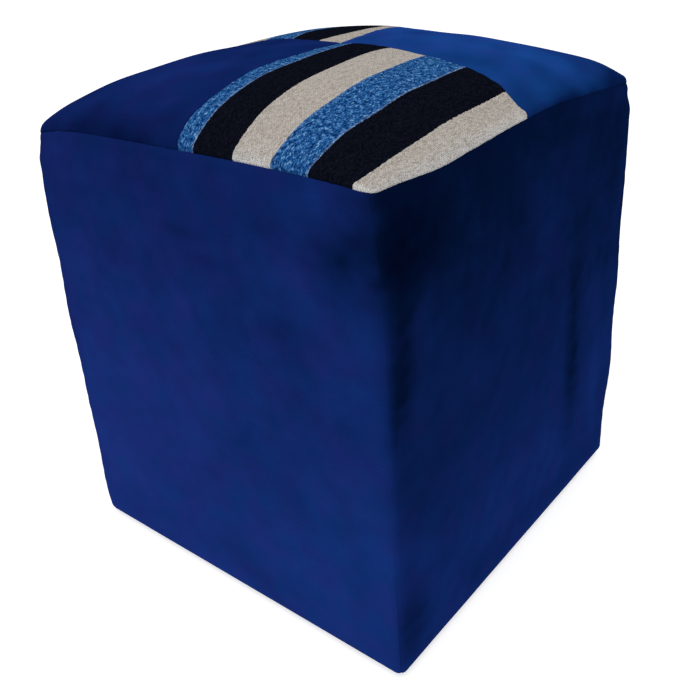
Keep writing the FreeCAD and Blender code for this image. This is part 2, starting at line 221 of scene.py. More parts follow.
def side_skin(side, w, length):
    """Side of the skin at w across and a length up the profile, which starts at the inner edge of the hem.

    The profile is a line, a quarter of a circle and the wall. Its bulge is a parabola across the side.
    """
    run = length - HEM_FLOOR
    angle = np.clip(run / HEM_RADIUS, 0, math.pi / 2)
    inset = HEM_RADIUS * (1 - np.sin(angle)) + np.maximum(-run, 0)
    z = Z_HEM + HEM_RADIUS * (1 - np.cos(angle)) + np.maximum(run - HEM_ARC, 0)
    half, bulge = wall_line(z)
    share = height_share(z)
    rounder = w < 0 if side == "front" else (w > 0) & (side == "left")
    base_radius = np.where(rounder, BASE_RADIUS_LEFT, BASE_RADIUS)
    radius = base_radius + (CORNER_RADIUS - base_radius) * share
    along, out, b = edge_line(w, half - inset, radius)
    corner = half - inset - radius * CORNER_CUT
    plan = on_side(along / corner, 1.0, 0.0, side)
    lift = seam_lift(side, along / corner) + uneven_seam(plan[..., 0], plan[..., 1])
    return on_side(along, out + bulge * (1 - b**2), z + lift * share**LIFT_POWER, side)


# %% [markdown]
# The top is a height over the rounded square, fuller than a plain dome: it stays high over most of the seat
# and drops steeply at the seam. Foam is never even, so the crown is thinner towards the left, has a lump at
# the back, and is flatter beside its right seam and fuller beside the left one.

# %% Top of the skin
CROWN_FULLNESS_LEFT = 2.75
CROWN_LUMP = 4 * MM
LUMP_PLACE = (-0.16, 0.42)  # as shares of the way from the middle to an edge, as is its reach
LUMP_REACH = 0.3
# Change of height beside the right (1) and the left (-1) seam, then its place and its reach along the seam
# and its width across it, as shares of the half width.
SEAM_SLOPES = {1: (-6.5 * MM, 0.2, 0.4, 0.14), -1: (3 * MM, -0.62, 0.25, 0.25)}
SLOPE_SCALE = 27 / 4  # one over the greatest value of u times (1 - u) squared
TOP_CORNER = SEAM_HALF - CORNER_RADIUS * CORNER_CUT  # along x or y, from the middle to a round corner


def crown_height(x_share, y_share):
    """Height of the crown: a bow at the edges, a product of two arches, a lump and the seam's unevenness.

    The lump is a bell curve, and the unevenness dies out towards the middle. Just inside the right and left
    seams the height changes by u times (1 - u) squared, where u grows from 0 at the seam to 1, times a bell
    curve along the seam.
    """
    full = arch(x_share, np.where(x_share < 0, CROWN_FULLNESS_LEFT, CROWN_FULLNESS)) * arch(y_share)
    bow = EDGE_BOW * (1 - y_share**2) + EDGE_BOW * y_share**2 * arch(x_share)
    lump = CROWN_LUMP * bell(np.hypot(x_share - LUMP_PLACE[0], y_share - LUMP_PLACE[1]) / LUMP_REACH)
    height = Z_EDGE + bow + START_RISE * full + lump + uneven_seam(x_share, y_share) * (1 - full)
    for end, (change, place, reach, width) in SEAM_SLOPES.items():
        u = np.clip((1 - end * x_share) / width, 0, 1)
        height = height + change * SLOPE_SCALE * u * (1 - u) ** 2 * bell((y_share - place) / reach)
    return height


def edge_distance(x, y):
    """Distance in plan from the top's outline, which is a square with rounded corners."""
    across = np.abs(np.stack([x, y])) - (SEAM_HALF - CORNER_RADIUS)
    outside = np.hypot(*np.maximum(across, 0))
    return CORNER_RADIUS - outside - np.minimum(across.max(axis=0), 0)


def top_skin(w_x, w_y):
    """Top of the skin: the product of two rounded sides in plan, with the crown's height.

    The rim is turned down by a quarter of a circle.
    """
    along_x, out_x, _ = edge_line(w_x, SEAM_HALF, CORNER_RADIUS)
    along_y, out_y, _ = edge_line(w_y, SEAM_HALF, CORNER_RADIUS)
    x, y = along_x * out_y / TOP_CORNER, along_y * out_x / TOP_CORNER
    inside = np.clip(edge_distance(x, y) / RIM_HEIGHT, 0, 1)
    drop = RIM_HEIGHT * (1 - np.sqrt(1 - (1 - inside) ** 2))
    return np.stack([x, y, crown_height(along_x / TOP_CORNER, along_y / TOP_CORNER) - drop], axis=-1)


CROSS_W = tuple(
    place / SEAM_HALF * TOP_CORNER / (SEAM_HALF - CORNER_RADIUS) for place in (CROSS_X, CROSS_Y)
)
print("highest point of the skin", top_skin(np.array(0.0), np.array(0.0)), "cross seam at w", CROSS_W)

# %% [markdown]
# A sewn cover never sits quite square on its box. Hem and top are turned by about a degree, and the right
# side is drawn in at the front of its base. The twist is given to points that are already in place, so that
# the panels, the slab, the pad and the fleece all follow it alike.

# %% Twist of the cover
TWIST_BASE = math.radians(0.7)
TWIST_TOP = math.radians(-1.1)
TWIST_POWERS = (4, 8)  # how fast the turns of base and top die out away from them
BASE_DRAW = 1.5 * MM


def twisted(points):
    """Turns each level about the upright middle line, by powers of the nearness to base and top seam.

    The front right of the base is also drawn in, in step with the nearness to the front and to the right.
    """
    share = height_share(points[..., 2])
    near_base = (1 - share) ** TWIST_POWERS[0]
    angle = TWIST_BASE * near_base + TWIST_TOP * share ** TWIST_POWERS[1]
    x, y = points[..., 0], points[..., 1]
    x = x - BASE_DRAW * near_base * np.maximum(x, 0) / COVER_HALF * (1 - y / COVER_HALF) / 2
    return np.stack([
        x * np.cos(angle) - y * np.sin(angle), x * np.sin(angle) + y * np.cos(angle), points[..., 2]
    ], axis=-1)


# %% [markdown]
# ## Grids into meshes
# Every new piece starts as an array of points in rows and columns. One function lists the faces of such a
# grid, which look outwards, and another gives the outward direction at each point from the two grid
# directions. The length of a row or a column is the sum of its steps.

# %% Helpers for grids
NO_LENGTH = 1e-12  # keeps a direction from being divided by nothing


def grid_normals(points):
    """Cross product of the grid's two directions, made one unit long."""
    across = np.gradient(points, axis=1)
    up = np.gradient(points, axis=0)
    normal = np.cross(across, up)
    return normal / np.maximum(np.linalg.norm(normal, axis=-1, keepdims=True), NO_LENGTH)


def grid_quads(rows, columns):
    """Each face joins a point to its right, upper right and upper neighbours."""
    index = np.arange(rows * columns).reshape(rows, columns)
    corners = [index[:-1, :-1], index[:-1, 1:], index[1:, 1:], index[1:, :-1]]
    return np.stack(corners, axis=-1).reshape(-1, 4)


def grid_steps(points, axis):
    """Distance from each point of the grid to the next one along a row or up a column."""
    return np.linalg.norm(np.diff(points, axis=axis), axis=-1)


# %% [markdown]
# A piece is the object that carries the mesh of a grid. It stands for a node of the frame, which it hides,
# and rides with it. Cloth gets its thickness from a Solidify modifier, because one grid is then enough for
# both faces. A striped sheet also keeps how far along and across the cloth each point lies, which is measured
# on its grid.

# %% Helpers for pieces
MERGE_DISTANCE = 0.001 * MM


def new_piece(name, points, node, merge=False):
    """Mesh object of a grid, smooth shaded, that stands for a node of the frame and rides with it."""
    mesh = bpy.data.meshes.new(name)
    mesh.from_pydata(points.reshape(-1, 3).tolist(), [], grid_quads(*points.shape[:2]).tolist())
    if merge:
        work = bmesh.new()
        work.from_mesh(mesh)
        bmesh.ops.remove_doubles(work, verts=work.verts, dist=MERGE_DISTANCE)
        bmesh.ops.recalc_face_normals(work, faces=work.faces)
        work.to_mesh(mesh)
        work.free()
    mesh.polygons.foreach_set("use_smooth", np.ones(len(mesh.polygons), dtype=bool))
    piece = bpy.data.objects.new(name, mesh)
    bpy.context.scene.collection.objects.link(piece)
    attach(piece, "root")
    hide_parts(node)
    return piece


def add_values(piece, name, values):
    """Keeps one number per point with the mesh, for its material to read."""
    layer = piece.data.attributes.new(name, "FLOAT", "POINT")
    layer.data.foreach_set("value", np.ascontiguousarray(values, dtype=np.float32).ravel())


def thicken(piece, thickness):
    """Gives the cloth its thickness, inwards from the face that is seen."""
    wall = piece.modifiers.new("cloth thickness", "SOLIDIFY")
    wall.thickness = thickness
    wall.offset = -1


# %% [markdown]
# ## Letting the cover swell
# Foam pushes a sewn cover outwards, and the seams, which are shorter than the cloth beside them, hold it
# back. That is what a cloth simulation is for. It runs on the whole skin at once, on a coarse grid with its
# hem and seams held still and air pressure in place of the foam. How far each point went outwards is kept
# as a field, with a soft limit because foam gives less than air, and the finer panels read it afterwards.
# Running it on each finished panel would be slow, and the panels would part at the seams.

# %% Coarse grid and its seams
COARSE = 56  # cells along one side
COARSE_ROWS = 60
CROSS_HOLD = 0.5  # a cross seam gives a little, the others don't
coarse_w = np.linspace(-W_END, W_END, COARSE + 1)
coarse_length = np.linspace(0, SIDE_LENGTH, COARSE_ROWS + 1)


def seam_holds():
    """How firmly each point of the coarse grids is held: 1 on hem and seams, less on the cross seams."""
    side = np.zeros((COARSE_ROWS + 1, COARSE + 1))
    side[-1] = side[:, 0] = side[:, -1] = 1
    side[coarse_length < HEM_WIDTH + HEM_RADIUS] = 1
    top = np.zeros((COARSE + 1, COARSE + 1))
    top[np.abs(coarse_w - CROSS_W[1]).argmin()] = CROSS_HOLD
    top[:, np.abs(coarse_w - CROSS_W[0]).argmin()] = CROSS_HOLD
    top[0] = top[-1] = top[:, 0] = top[:, -1] = 1
    return [side] * len(SIDES) + [top]


print("coarse grids held at", [int((hold > 0).sum()) for hold in seam_holds()], "points")

# %% [markdown]
# The cloth modifier works on one mesh, so the five grids are joined where their points coincide. The
# pressure acts for a few frames, one after the other, and the moved points are read from the evaluated mesh.
# Only the part of a movement that goes outwards counts, because the panels have their own grids.

# %% Simulate the coarse skin
SAME_PLACE = 0.01 * MM  # points of two panels that lie closer than this are one
LAST_FRAME = 20
CLOTH_SETTINGS = {
    "quality": 5,
    "mass": 0.4,
    "tension_stiffness": 25,
    "compression_stiffness": 25,
    "shear_stiffness": 10,
    "bending_stiffness": 2,
    "use_pressure": True,
    "uniform_pressure_force": 4,
    "vertex_group_mass": "held",
}


def simulated(places, quads, hold):
    """Places of a cloth's points after pressure has blown it up, each point held as firmly as hold says."""
    scene = bpy.context.scene
    mesh = bpy.data.meshes.new("coarse skin")
    mesh.from_pydata(places.tolist(), [], quads.tolist())
    skin = bpy.data.objects.new("coarse skin", mesh)
    scene.collection.objects.link(skin)
    held = skin.vertex_groups.new(name="held")
    for weight in np.unique(hold[hold > 0]):
        held.add(np.flatnonzero(hold == weight).tolist(), float(weight), "REPLACE")
    cloth = skin.modifiers.new("cloth", "CLOTH")
    for key, value in CLOTH_SETTINGS.items():
        setattr(cloth.settings, key, value)
    cloth.settings.effector_weights.gravity = 0
    cloth.collision_settings.use_collision = False
    for step in range(1, LAST_FRAME + 1):
        scene.frame_set(step)
    swollen = skin.evaluated_get(bpy.context.evaluated_depsgraph_get()).data
    moved = np.empty(len(swollen.vertices) * 3, dtype=np.float32)
    swollen.vertices.foreach_get("co", moved)
    scene.frame_set(1)
    bpy.data.objects.remove(skin)
    return moved.reshape(-1, 3)


def swollen_skin():
    """Outward movement of the coarse skin under pressure: one grid for each side, and one for the top."""
    grids = [side_skin(side, coarse_w[None, :], coarse_length[:, None]) for side in SIDES]
    grids.append(top_skin(coarse_w[None, :], coarse_w[:, None]))
    start = np.concatenate([grid.reshape(-1, 3) for grid in grids])
    hold = np.concatenate([grid.ravel() for grid in seam_holds()])
    offsets = np.cumsum([0] + [grid[..., 0].size for grid in grids])
    quads = np.concatenate([grid_quads(*g.shape[:2]) + o for g, o in zip(grids, offsets)])
    cells = np.round(start / SAME_PLACE)
    _, first, shared = np.unique(cells, axis=0, return_index=True, return_inverse=True)
    shared = shared.ravel()
    shift = simulated(start[first], shared[quads], hold[first])[shared] - start
    shifts = [shift[a:b].reshape(g.shape) for g, a, b in zip(grids, offsets, offsets[1:])]
    return [np.maximum((s * grid_normals(g)).sum(axis=-1), 0) for g, s in zip(grids, shifts)]


swell_fields = swollen_skin()
print("swollen by up to", [float(field.max()) for field in swell_fields], "metres: sides and top")

# %% [markdown]
# The field is read between its points, as a mean of the four nearest ones.

# %% Read the swelling
LAST_CELL = 1.001  # a place at the far edge still counts to the last cell


def coarse_column(w):
    """Place of w on a coarse grid, in cells from its end."""
    return (w + W_END) / (2 * W_END) * COARSE


def swelling(panel, rows, columns):
    """Swelling of a side, by its number, or of the top (-1), at fractional rows and columns of its field.

    It is the mean of four neighbours, weighted by nearness, with a hyperbolic tangent as its soft limit.
    """
    if swell_fields is None:
        return 0.0
    field = SIDE_PUFF * np.tanh(swell_fields[panel] / SIDE_PUFF)
    rows, columns = np.broadcast_arrays(rows, columns)
    row = np.clip(rows, 0, field.shape[0] - LAST_CELL)
    column = np.clip(columns, 0, field.shape[1] - LAST_CELL)
    r, c = row.astype(int), column.astype(int)
    v, u = row - r, column - c
    low = field[r, c] * (1 - u) + field[r, c + 1] * u
    high = field[r + 1, c] * (1 - u) + field[r + 1, c + 1] * u
    return low * (1 - v) + high * v


print("swelling at the middle of the top", swelling(-1, np.array(COARSE / 2), np.array(COARSE / 2)))

# %% [markdown]
# ## Sewing
# A seam is where two panels turn inwards and meet. So each panel rolls in along its edges, by a parabola,
# and near the thread the cloth puckers. At the back right shoulder of the top the padding is fuller and
# pushes the cloth up. All relief is a function of place, so panels match where they meet.

# %% Seams, puckers and the full shoulder
HEM_FLAT = 20 * MM  # the frame holds the cloth flat up to this height above the hem
PUCKER = 0.15 * MM
PUCKER_SIZE = 13 * MM
PUCKER_REACH = 9 * MM
SOFT_WAVE = 0.5 * MM
SOFT_WAVE_SIZE = 85 * MM
SHOULDER = 3.6 * MM
SHOULDER_INSET = 25 * MM
SHOULDER_REACH = 34 * MM
SHOULDER_WAY = np.array([0.3, 0.3, 0.9])  # up, and a little to the right and back
SHOULDER_PLACE = np.array([
    SEAM_HALF - SHOULDER_INSET, SEAM_HALF - SHOULDER_INSET, Z_EDGE + SHOULDER_INSET / 2
])
RELIEF_SEED = 11


def with_shoulder(points):
    """Pushes the skin up and out at the full shoulder, by a bell curve of the distance from it."""
    gap = np.linalg.norm(points - SHOULDER_PLACE, axis=-1, keepdims=True)
    return points + SHOULDER * bell(gap / SHOULDER_REACH) * SHOULDER_WAY


def sewn(points, puff, seams):
    """Moves a panel along its outward direction, then twists it with the cover.

    The movement is swelling, soft waves and puckers that fade away from the seams, all of it none at the
    hem, less the roll into each seam, which is given as the distance from it, the radius of the roll and
    its depth.
    """
    points = with_shoulder(points)
    nearest = np.min([distance for distance, _, _ in seams], axis=0)
    lift = puff + SOFT_WAVE * relief(points, SOFT_WAVE_SIZE, RELIEF_SEED)
    lift += PUCKER * relief(points, PUCKER_SIZE, RELIEF_SEED + 1) * np.exp(-nearest / PUCKER_REACH)
    roll = [depth * (1 - np.clip(distance / radius, 0, 1)) ** 2 for distance, radius, depth in seams]
    lift = lift * eased((points[..., 2] - Z_HEM) / HEM_FLAT) - np.max(roll, axis=0)
    return twisted(points + grid_normals(points) * lift[..., None])


# %% [markdown]
# ## Velvet sides
# Each side is one panel of velvet from under the base to the top seam. Its nap, the way the pile lies, is
# brushed by every hand that moves the pouf, so the same cloth looks lighter or darker in soft clouds. The nap
# is kept as a number at each point of the mesh, from random relief and a few strokes, and the material reads
# it. The same number carries painted light and shade: the front is lighter and the right side darker, each
# side is lighter towards its base, and some of the darker strokes are painted shade.

# %% Lie, strokes and painted light and shade of the nap
# Level of the nap on each side, partly painted light and shade: the front is lighter and the right side
# darker, as the light falls.
SIDE_LIE_AND_SHADING = {"front": 0.67, "right": 0.35, "back": 0.5, "left": 0.45}
# Painted light: how much lighter the base of a side is than its seam, as if the floor lit it from below.
SIDE_BOUNCE_LIGHT = {"front": 0.4, "right": 0.6, "back": 0.3, "left": 0.4}
LIE_BLEND = 6 * MM  # the nap levels of two sides, with their painted light and shade, blend where they meet
# Brushed strokes, and bands of painted shade beside the front right corner and along the base of the right
# side: side, place along it and height of the middle, half width and half height, all four in millimetres,
# then lean and how light they are.
STROKES_AND_SHADE_BANDS = (
    ("front", 3, 354, 32, 5, 0, -0.12),
    ("front", 20, 336, 20, 5, -0.8, -0.1),
    ("front", 93, 378, 20, 12, 0, -0.1),
    ("front", 161, 366, 32, 30, 0, -0.22),
    ("front", 96, 297, 28, 12, 0, -0.1),
    ("front", 39, 290, 12, 16, 0, -0.06),
    ("front", 194, 377, 5, 8, 0, -0.14),
    ("front", 150, 62, 10, 36, 0.1, -0.1),
    ("front", 48, 33, 10, 10, 0, -0.08),
    ("front", -110, 40, 60, 26, 0, -0.1),
    ("front", 146, 402, 18, 16, 0, 0.14),
    ("front", 176, 260, 18, 110, 0.05, 0.04),
    ("front", -150, 240, 60, 140, 0, 0.06),
    # Painted shade beside the front right corner, where it turns from the light.
    ("right", -170, 325, 20, 75, 0.135, -0.13),
    ("right", -181, 268, 13, 40, 0.15, -0.22),
    ("right", -172, 374, 55, 40, 0, -0.22),
    ("right", 86, 180, 17, 105, -0.07, -0.12),
    ("right", 84, 165, 13, 90, -0.07, -0.2),
    ("right", 92, 270, 20, 30, 0, -0.1),
    ("right", -170, 55, 20, 30, 0, -0.36),
    ("right", 165, 406, 70, 12, 0, 0.12),
    ("right", -78, 35, 9, 10, 0, -0.14),
    # Painted shade along the base of the right side, where the hem rounds under.
    ("right", 70, 30, 120, 18, 0, -0.12),
    ("right", -152, 323, 13, 20, 0, 0.1),
    ("right", -156, 255, 13, 22, 0, 0.1),
    ("right", 18, 312, 18, 60, 0, 0.08),
    ("right", 138, 134, 13, 85, -0.11, 0.12),
    ("right", -191, 250, 6, 120, 0, 0.1),
    ("right", 150, 300, 50, 120, 0, -0.08),
    ("back", -60, 300, 90, 40, 0, -0.12),
    ("back", 90, 160, 60, 120, 0, 0.08),
    ("back", -150, 120, 20, 100, 0.1, -0.14),
    ("left", 70, 330, 60, 40, 0, -0.12),
    ("left", -60, 150, 110, 90, 0, 0.08),
    ("left", 150, 200, 16, 110, -0.1, -0.14),
)
print(len(STROKES_AND_SHADE_BANDS), "strokes on", len(SIDES), "sides")

# %% [markdown]
# The nap could be painted by hand on the mesh, but then it would be lost with every change of the grid. As a
# sum of clouds and bell curves it only depends on the place, and a stroke runs on round a corner from one
# panel to the next.

# %% Nap of the sides, with painted light and shade
# Clouds of the nap, and those that break up the strokes: how strong and how large they are.
SIDE_CLOUDS = ((0.025, 170 * MM), (0.018, 60 * MM), (0.012, 24 * MM))
STROKE_CLOUDS = ((0.12, 20 * MM),)
NAP_SEED = 41
STROKE_SEED = 48


def clouds(points, layers, seed):
    """Sum of a relief for each layer, which is a strength and a size."""
    return sum(strength * relief(points, size, seed + i) for i, (strength, size) in enumerate(layers))


def side_nap_and_shading(side, along, z, points):
    """Lie of a side, which holds painted light and shade and is lighter towards the base, plus clouds, plus a
    bell curve for each stroke, some of them painted shade.

    At each corner the lie is half way to the neighbour's. A stroke runs on round the corners and is broken up
    by small clouds.
    """
    here = SIDES.index(side)
    own, after, before = (
        SIDE_LIE_AND_SHADING[name] + SIDE_BOUNCE_LIGHT[name] * (0.5 - z / Z_SEAM)
        for name in (side, SIDES[(here + 1) % 4], SIDES[here - 1])
    )
    nap_and_shading = own + (after - own) / 2 * np.exp((along - along.max()) / LIE_BLEND)
    nap_and_shading += (before - own) / 2 * np.exp((along.min() - along) / LIE_BLEND)
    nap_and_shading += clouds(points, SIDE_CLOUDS, NAP_SEED)
    patchy = 1 + clouds(points, STROKE_CLOUDS, STROKE_SEED)
    for where, *places, lean, light in STROKES_AND_SHADE_BANDS:
        middle, height, half_width, half_height = np.array(places) * MM
        unrolled = along + ((here - SIDES.index(where) + 1) % 4 - 1) * 2 * COVER_HALF
        v = (z - height) / half_height
        u = (unrolled - middle - lean * (z - height)) / half_width
        nap_and_shading += light * np.exp(-(u**2) - v**2) * patchy
    return nap_and_shading


# %% [markdown]
# The panel's grid is finest at its seams. At the corners the pile hides most of the seam, except near the
# base, and just below the top seam the folded seam allowance lifts the cloth into a soft ridge.

# %% Side panels
VELVET_THICKNESS = 1.5 * MM
SIDE_COLUMNS = 150
UNDER_ROWS = 8
ROLL_ROWS = 12
WALL_ROWS = 130
WALL_PULL = 1.5  # how much the rows crowd towards the top seam
CORNER_SEAM = (2 * MM, 0.6 * MM)  # radius and depth of the roll into a seam
CORNER_SEAM_HIDDEN = 0.8  # share of the depth that the pile fills, except near the base
CORNER_SEAM_SHOWS = 80 * MM
TOP_SEAM = (2.2 * MM, 0.5 * MM)
ALLOWANCE = 0.6 * MM
ALLOWANCE_PLACE = 4.5 * MM
ALLOWANCE_WIDTH = 3 * MM


def side_panel(side):
    """Velvet panel of one side, sewn at its two corners and along the top."""
    w = crowded(-W_END, W_END, SIDE_COLUMNS)[None, :]
    round_end = HEM_FLOOR + HEM_ARC
    wall_share = 1 - np.linspace(1, 0, WALL_ROWS)[1:] ** WALL_PULL
    length = np.concatenate([
        np.linspace(0, HEM_FLOOR, UNDER_ROWS),
        np.linspace(HEM_FLOOR, round_end, ROLL_ROWS)[1:],
        round_end + (SIDE_LENGTH - round_end) * wall_share,
    ])[:, None]
    points = side_skin(side, w, length)
    puff = swelling(SIDES.index(side), length / SIDE_LENGTH * COARSE_ROWS, coarse_column(w))
    puff = puff + ALLOWANCE * bell((SIDE_LENGTH - length - ALLOWANCE_PLACE) / ALLOWANCE_WIDTH)
    along = w * (COVER_HALF - CORNER_RADIUS)
    along, from_top = np.broadcast_arrays(along, SIDE_LENGTH - length)
    hidden = CORNER_SEAM_HIDDEN * eased(points[..., 2] / CORNER_SEAM_SHOWS - 1)
    corner_roll = (CORNER_SEAM[0], CORNER_SEAM[1] * (1 - hidden))
    seams = [
        (along - along.min(), *corner_roll), (along.max() - along, *corner_roll), (from_top, *TOP_SEAM)
    ]
    points = sewn(points, puff, seams)
    piece = new_piece(f"side_velvet_{side}", points, f"side_cover_{side}")
    # The nap number also carries the painted light and shade of the side.
    add_values(piece, "nap_and_shading", side_nap_and_shading(side, along, points[..., 2], points))
    thicken(piece, VELVET_THICKNESS)
    return piece


side_panels = [side_panel(side) for side in SIDES]

# %% [markdown]
# ## Patches of the top
# Four patches meet at a crossing a little off the middle. The striped ones keep, at each point, how far
# across the weave it lies, counted in stripes, because the cloth was cut and sewn a little askew and its
# stripes lean. A texture on plain coordinates would draw them dead straight.

# %% Stripes
FRONT_DRAW = 4 * MM  # the front seam has pulled the stripes askew
FRONT_DRAW_REACH = 6 * MM
# Where each stripe of a patch ends, in millimetres from the middle of the pouf: at the front of the patch,
# half way back, and at its back.
STRIPE_ENDS = {
    "front_right": (
        (-10, 26.8, 68.3, 105.8, 139.6, 176.3, 212),
        (-15, 21.5, 59.3, 101.0, 137.6, 172.7, 210),
        (-20, 16.0, 58.0, 94.0, 132.8, 168.4, 206),
    ),
    "back_left": (
        (-200, -166, -130, -92, -55, -26, 9),
        (-213, -178, -142, -105, -67, -12, 22),
        (-222, -186, -149, -112, -72, -10, 24),
    ),
}


def stripe_number(place, x, y, y_front, y_back):
    """Stripes crossed so far from the left: for each one, the share of its width that x has passed, added up.

    An end runs along a parabola through its three places, and bends to the left at the front seam.
    """
    x = x + FRONT_DRAW * np.exp(-(y + SEAM_HALF) / FRONT_DRAW_REACH)
    front, middle, back = (np.array(ends)[:, None, None] * MM for ends in STRIPE_ENDS[place])
    depth = np.clip((y - y_front) / (y_back - y_front), 0, 1)
    ends = front * (1 - depth) * (1 - 2 * depth)
    ends = ends + middle * 4 * depth * (1 - depth) + back * depth * (2 * depth - 1)
    return np.clip((x - ends[:-1]) / np.diff(ends, axis=0), 0, 1).sum(axis=0)


STRIPE_COUNT = len(STRIPE_ENDS["front_right"][0]) - 1
print(STRIPE_COUNT, "stripes on", list(STRIPE_ENDS))

# %% [markdown]
# A patch is the part of the top's skin between the cross seams and the edge. The arms of the cross stray a
# little, as hand-guided seams do, so the grid of a patch runs from its own two arms.

# %% Grid of a patch
PATCH_STEPS = 110
CROSS_SEAM = (1.6 * MM, 0.9 * MM)
RIM_SEAM = (1.5 * MM, 0.4 * MM)
# How far each arm of the cross seam strays as a share of its length: to the back, or to the right.
CROSS_LEAN = {"left": 0.03, "right": -0.027, "front": 0.022, "back": -0.09}


def patch_points(to_right, to_back):
    """Sewn grid of one patch, its plan, and the distance from its rim.

    The plan is the part of the top's skin from the two arms of the cross seam, which lean, to the edge.
    """
    t = crowded(0, 1, PATCH_STEPS)
    s = (t if to_right else 1 - t)[None, :]
    v = (t if to_back else 1 - t)[:, None]
    x_end, y_end = (W_END if to_right else -W_END), (W_END if to_back else -W_END)
    x_seam = CROSS_W[0] + CROSS_LEAN["back" if to_back else "front"] * v * abs(y_end - CROSS_W[1])
    y_seam = CROSS_W[1] + CROSS_LEAN["right" if to_right else "left"] * s * abs(x_end - CROSS_W[0])
    w_x = x_seam + (x_end - x_seam) * s
    w_y = y_seam + (y_end - y_seam) * v
    plan = top_skin(w_x, w_y)
    puff = swelling(-1, coarse_column(w_y), coarse_column(w_x))
    inside = edge_distance(plan[..., 0], plan[..., 1])
    turn = np.arccos(np.clip(1 - inside / RIM_HEIGHT, 0, 1))
    from_rim = RIM_HEIGHT * turn + np.maximum(inside - RIM_HEIGHT, 0)
    span = SEAM_HALF - CORNER_RADIUS
    seams = [
        (np.abs(w_x - x_seam) * span, *CROSS_SEAM),
        (np.abs(w_y - y_seam) * span, *CROSS_SEAM),
        (from_rim, *RIM_SEAM),
    ]
    return sewn(plan, puff, seams), plan, from_rim


# %% [markdown]
# A plain patch is darker towards its rim, where the pile lies over and where painted shade stands for the
# crown rolling over to the sides, and at the rim of a striped patch pale cut threads show. Both fade with the
# distance from the rim, and are kept in the mesh as numbers that the material reads, because a material can't
# measure that distance.

# %% Top patches
STRIPED_THICKNESS = 1.8 * MM
TOP_LIE = 0.5
TOP_CLOUDS = ((0.05, 120 * MM), (0.03, 40 * MM))
RIM_SHADE = {"front_left": 0.2, "back_right": 0.4}
RIM_SHADE_REACH = 14 * MM
FRAY_REACH = 3 * MM
PATCH_CLOTHS = {
    "front_right": "striped_cloth",
    "back_left": "striped_cloth",
    "front_left": "top_velvet",
    "back_right": "top_velvet",
}


def patch(place, cloth):
    """One patch of the top, striped or plain, with its stripe numbers or its nap."""
    to_back, to_right = place.startswith("back"), place.endswith("right")
    points, plan, from_rim = patch_points(to_right, to_back)
    kind = "striped" if cloth == "striped_cloth" else "plain"
    piece = new_piece(f"{cloth}_{place}", points, f"{kind}_patch_{place}")
    if kind == "striped":
        y_front, y_back = (0, SEAM_HALF) if to_back else (-SEAM_HALF, 0)
        add_values(piece, "stripe", stripe_number(place, plan[..., 0], plan[..., 1], y_front, y_back))
        add_values(piece, "fray", np.exp(-from_rim / FRAY_REACH))
        for name, axis in (("across", 1), ("along", 0)):
            passed = grid_steps(points, axis).cumsum(axis=axis)
            add_values(piece, name, np.insert(passed, 0, 0, axis=axis))
        thicken(piece, STRIPED_THICKNESS)
    else:
        nap_and_shading = TOP_LIE + clouds(points, TOP_CLOUDS, NAP_SEED + len(SIDE_CLOUDS))
        # Darker towards the rim: the pile lying over, and painted shade.
        add_values(piece, "nap_and_shading", nap_and_shading - RIM_SHADE[place] * np.exp(-from_rim / RIM_SHADE_REACH))
        thicken(piece, VELVET_THICKNESS)
    return piece


patches = {place: patch(place, cloth) for place, cloth in PATCH_CLOTHS.items()}

# %% [markdown]
# ## Padding
# Under the cover lie four sheets of foam at the sides, a slab on the deck, a crowned pad and a layer of
# fleece. None of it shows, but a pouf that is opened or cut still has to be right inside. Slab, pad and
# fleece are each a profile carried round a rounded square, closed in the middle of the top and of the
# bottom.

# %% Helpers for padding
RING_STEPS = 24  # along one side of the square


def carried_round(half, z, bulge=0.0):
    """Profile of half widths and heights carried round a rounded square with bulging sides.

    The height may also be a function of the place.
    """
    w = np.linspace(-W_END, W_END, RING_STEPS, endpoint=False)[None, :]
    half = np.asarray(half)[:, None]
    along, out, b = edge_line(w, half, np.minimum(CORNER_RADIUS, half))
    out = out + np.reshape(bulge, (-1, 1)) * (1 - b**2)
    grids = [on_side(along, out, 0.0, side) for side in SIDES]
    ring = np.concatenate(grids + [grids[0][:, :1]], axis=1)
    ring[..., 2] = z(ring[..., 0], ring[..., 1]) if callable(z) else np.reshape(z, (-1, 1))
    return ring


def crown_under(depth):
    """Height of the crown a given depth below the cover's face."""
    return lambda x, y: crown_height(np.clip(x / SEAM_HALF, -1, 1), np.clip(y / SEAM_HALF, -1, 1)) - depth


def padding(name, node, rings):
    """Closed padded piece from rings that run from the middle of its underside to the middle of its top."""
    piece = new_piece(name, twisted(np.concatenate(rings)), node, merge=True)
    print(piece.name, len(piece.data.vertices), "points")
    return piece


# %% [markdown]
# The slab is a block of foam with softly rounded edges. Its walls follow the bulge of the cover, a
# little further in, so its profile takes the same wall line as the sides.

# %% Seat slab
PADDING_INSET = 3.4 * MM  # from the face of the cover to the padding
FOAM_EDGE = 4 * MM  # radius of the slab's edges
EDGE_STEPS = 6
WALL_STEPS = 6
FACE_STEPS = 11
slab_low, slab_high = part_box("seat_slab")
turn = np.linspace(0, math.pi / 2, EDGE_STEPS)
slab_z = np.concatenate([
    slab_low.z + FOAM_EDGE * (1 - np.cos(turn)),
    np.linspace(slab_low.z + FOAM_EDGE, slab_high.z - FOAM_EDGE, WALL_STEPS + 2)[1:-1],
    slab_high.z - FOAM_EDGE * (1 - np.cos(turn[::-1])),
])
slab_edge = FOAM_EDGE * np.concatenate([1 - np.sin(turn), np.zeros(WALL_STEPS), 1 - np.sin(turn[::-1])])
wall_half, wall_bulge = wall_line(slab_z)
slab_half = wall_half - PADDING_INSET - slab_edge
face_share = np.linspace(0, 1, FACE_STEPS, endpoint=False)
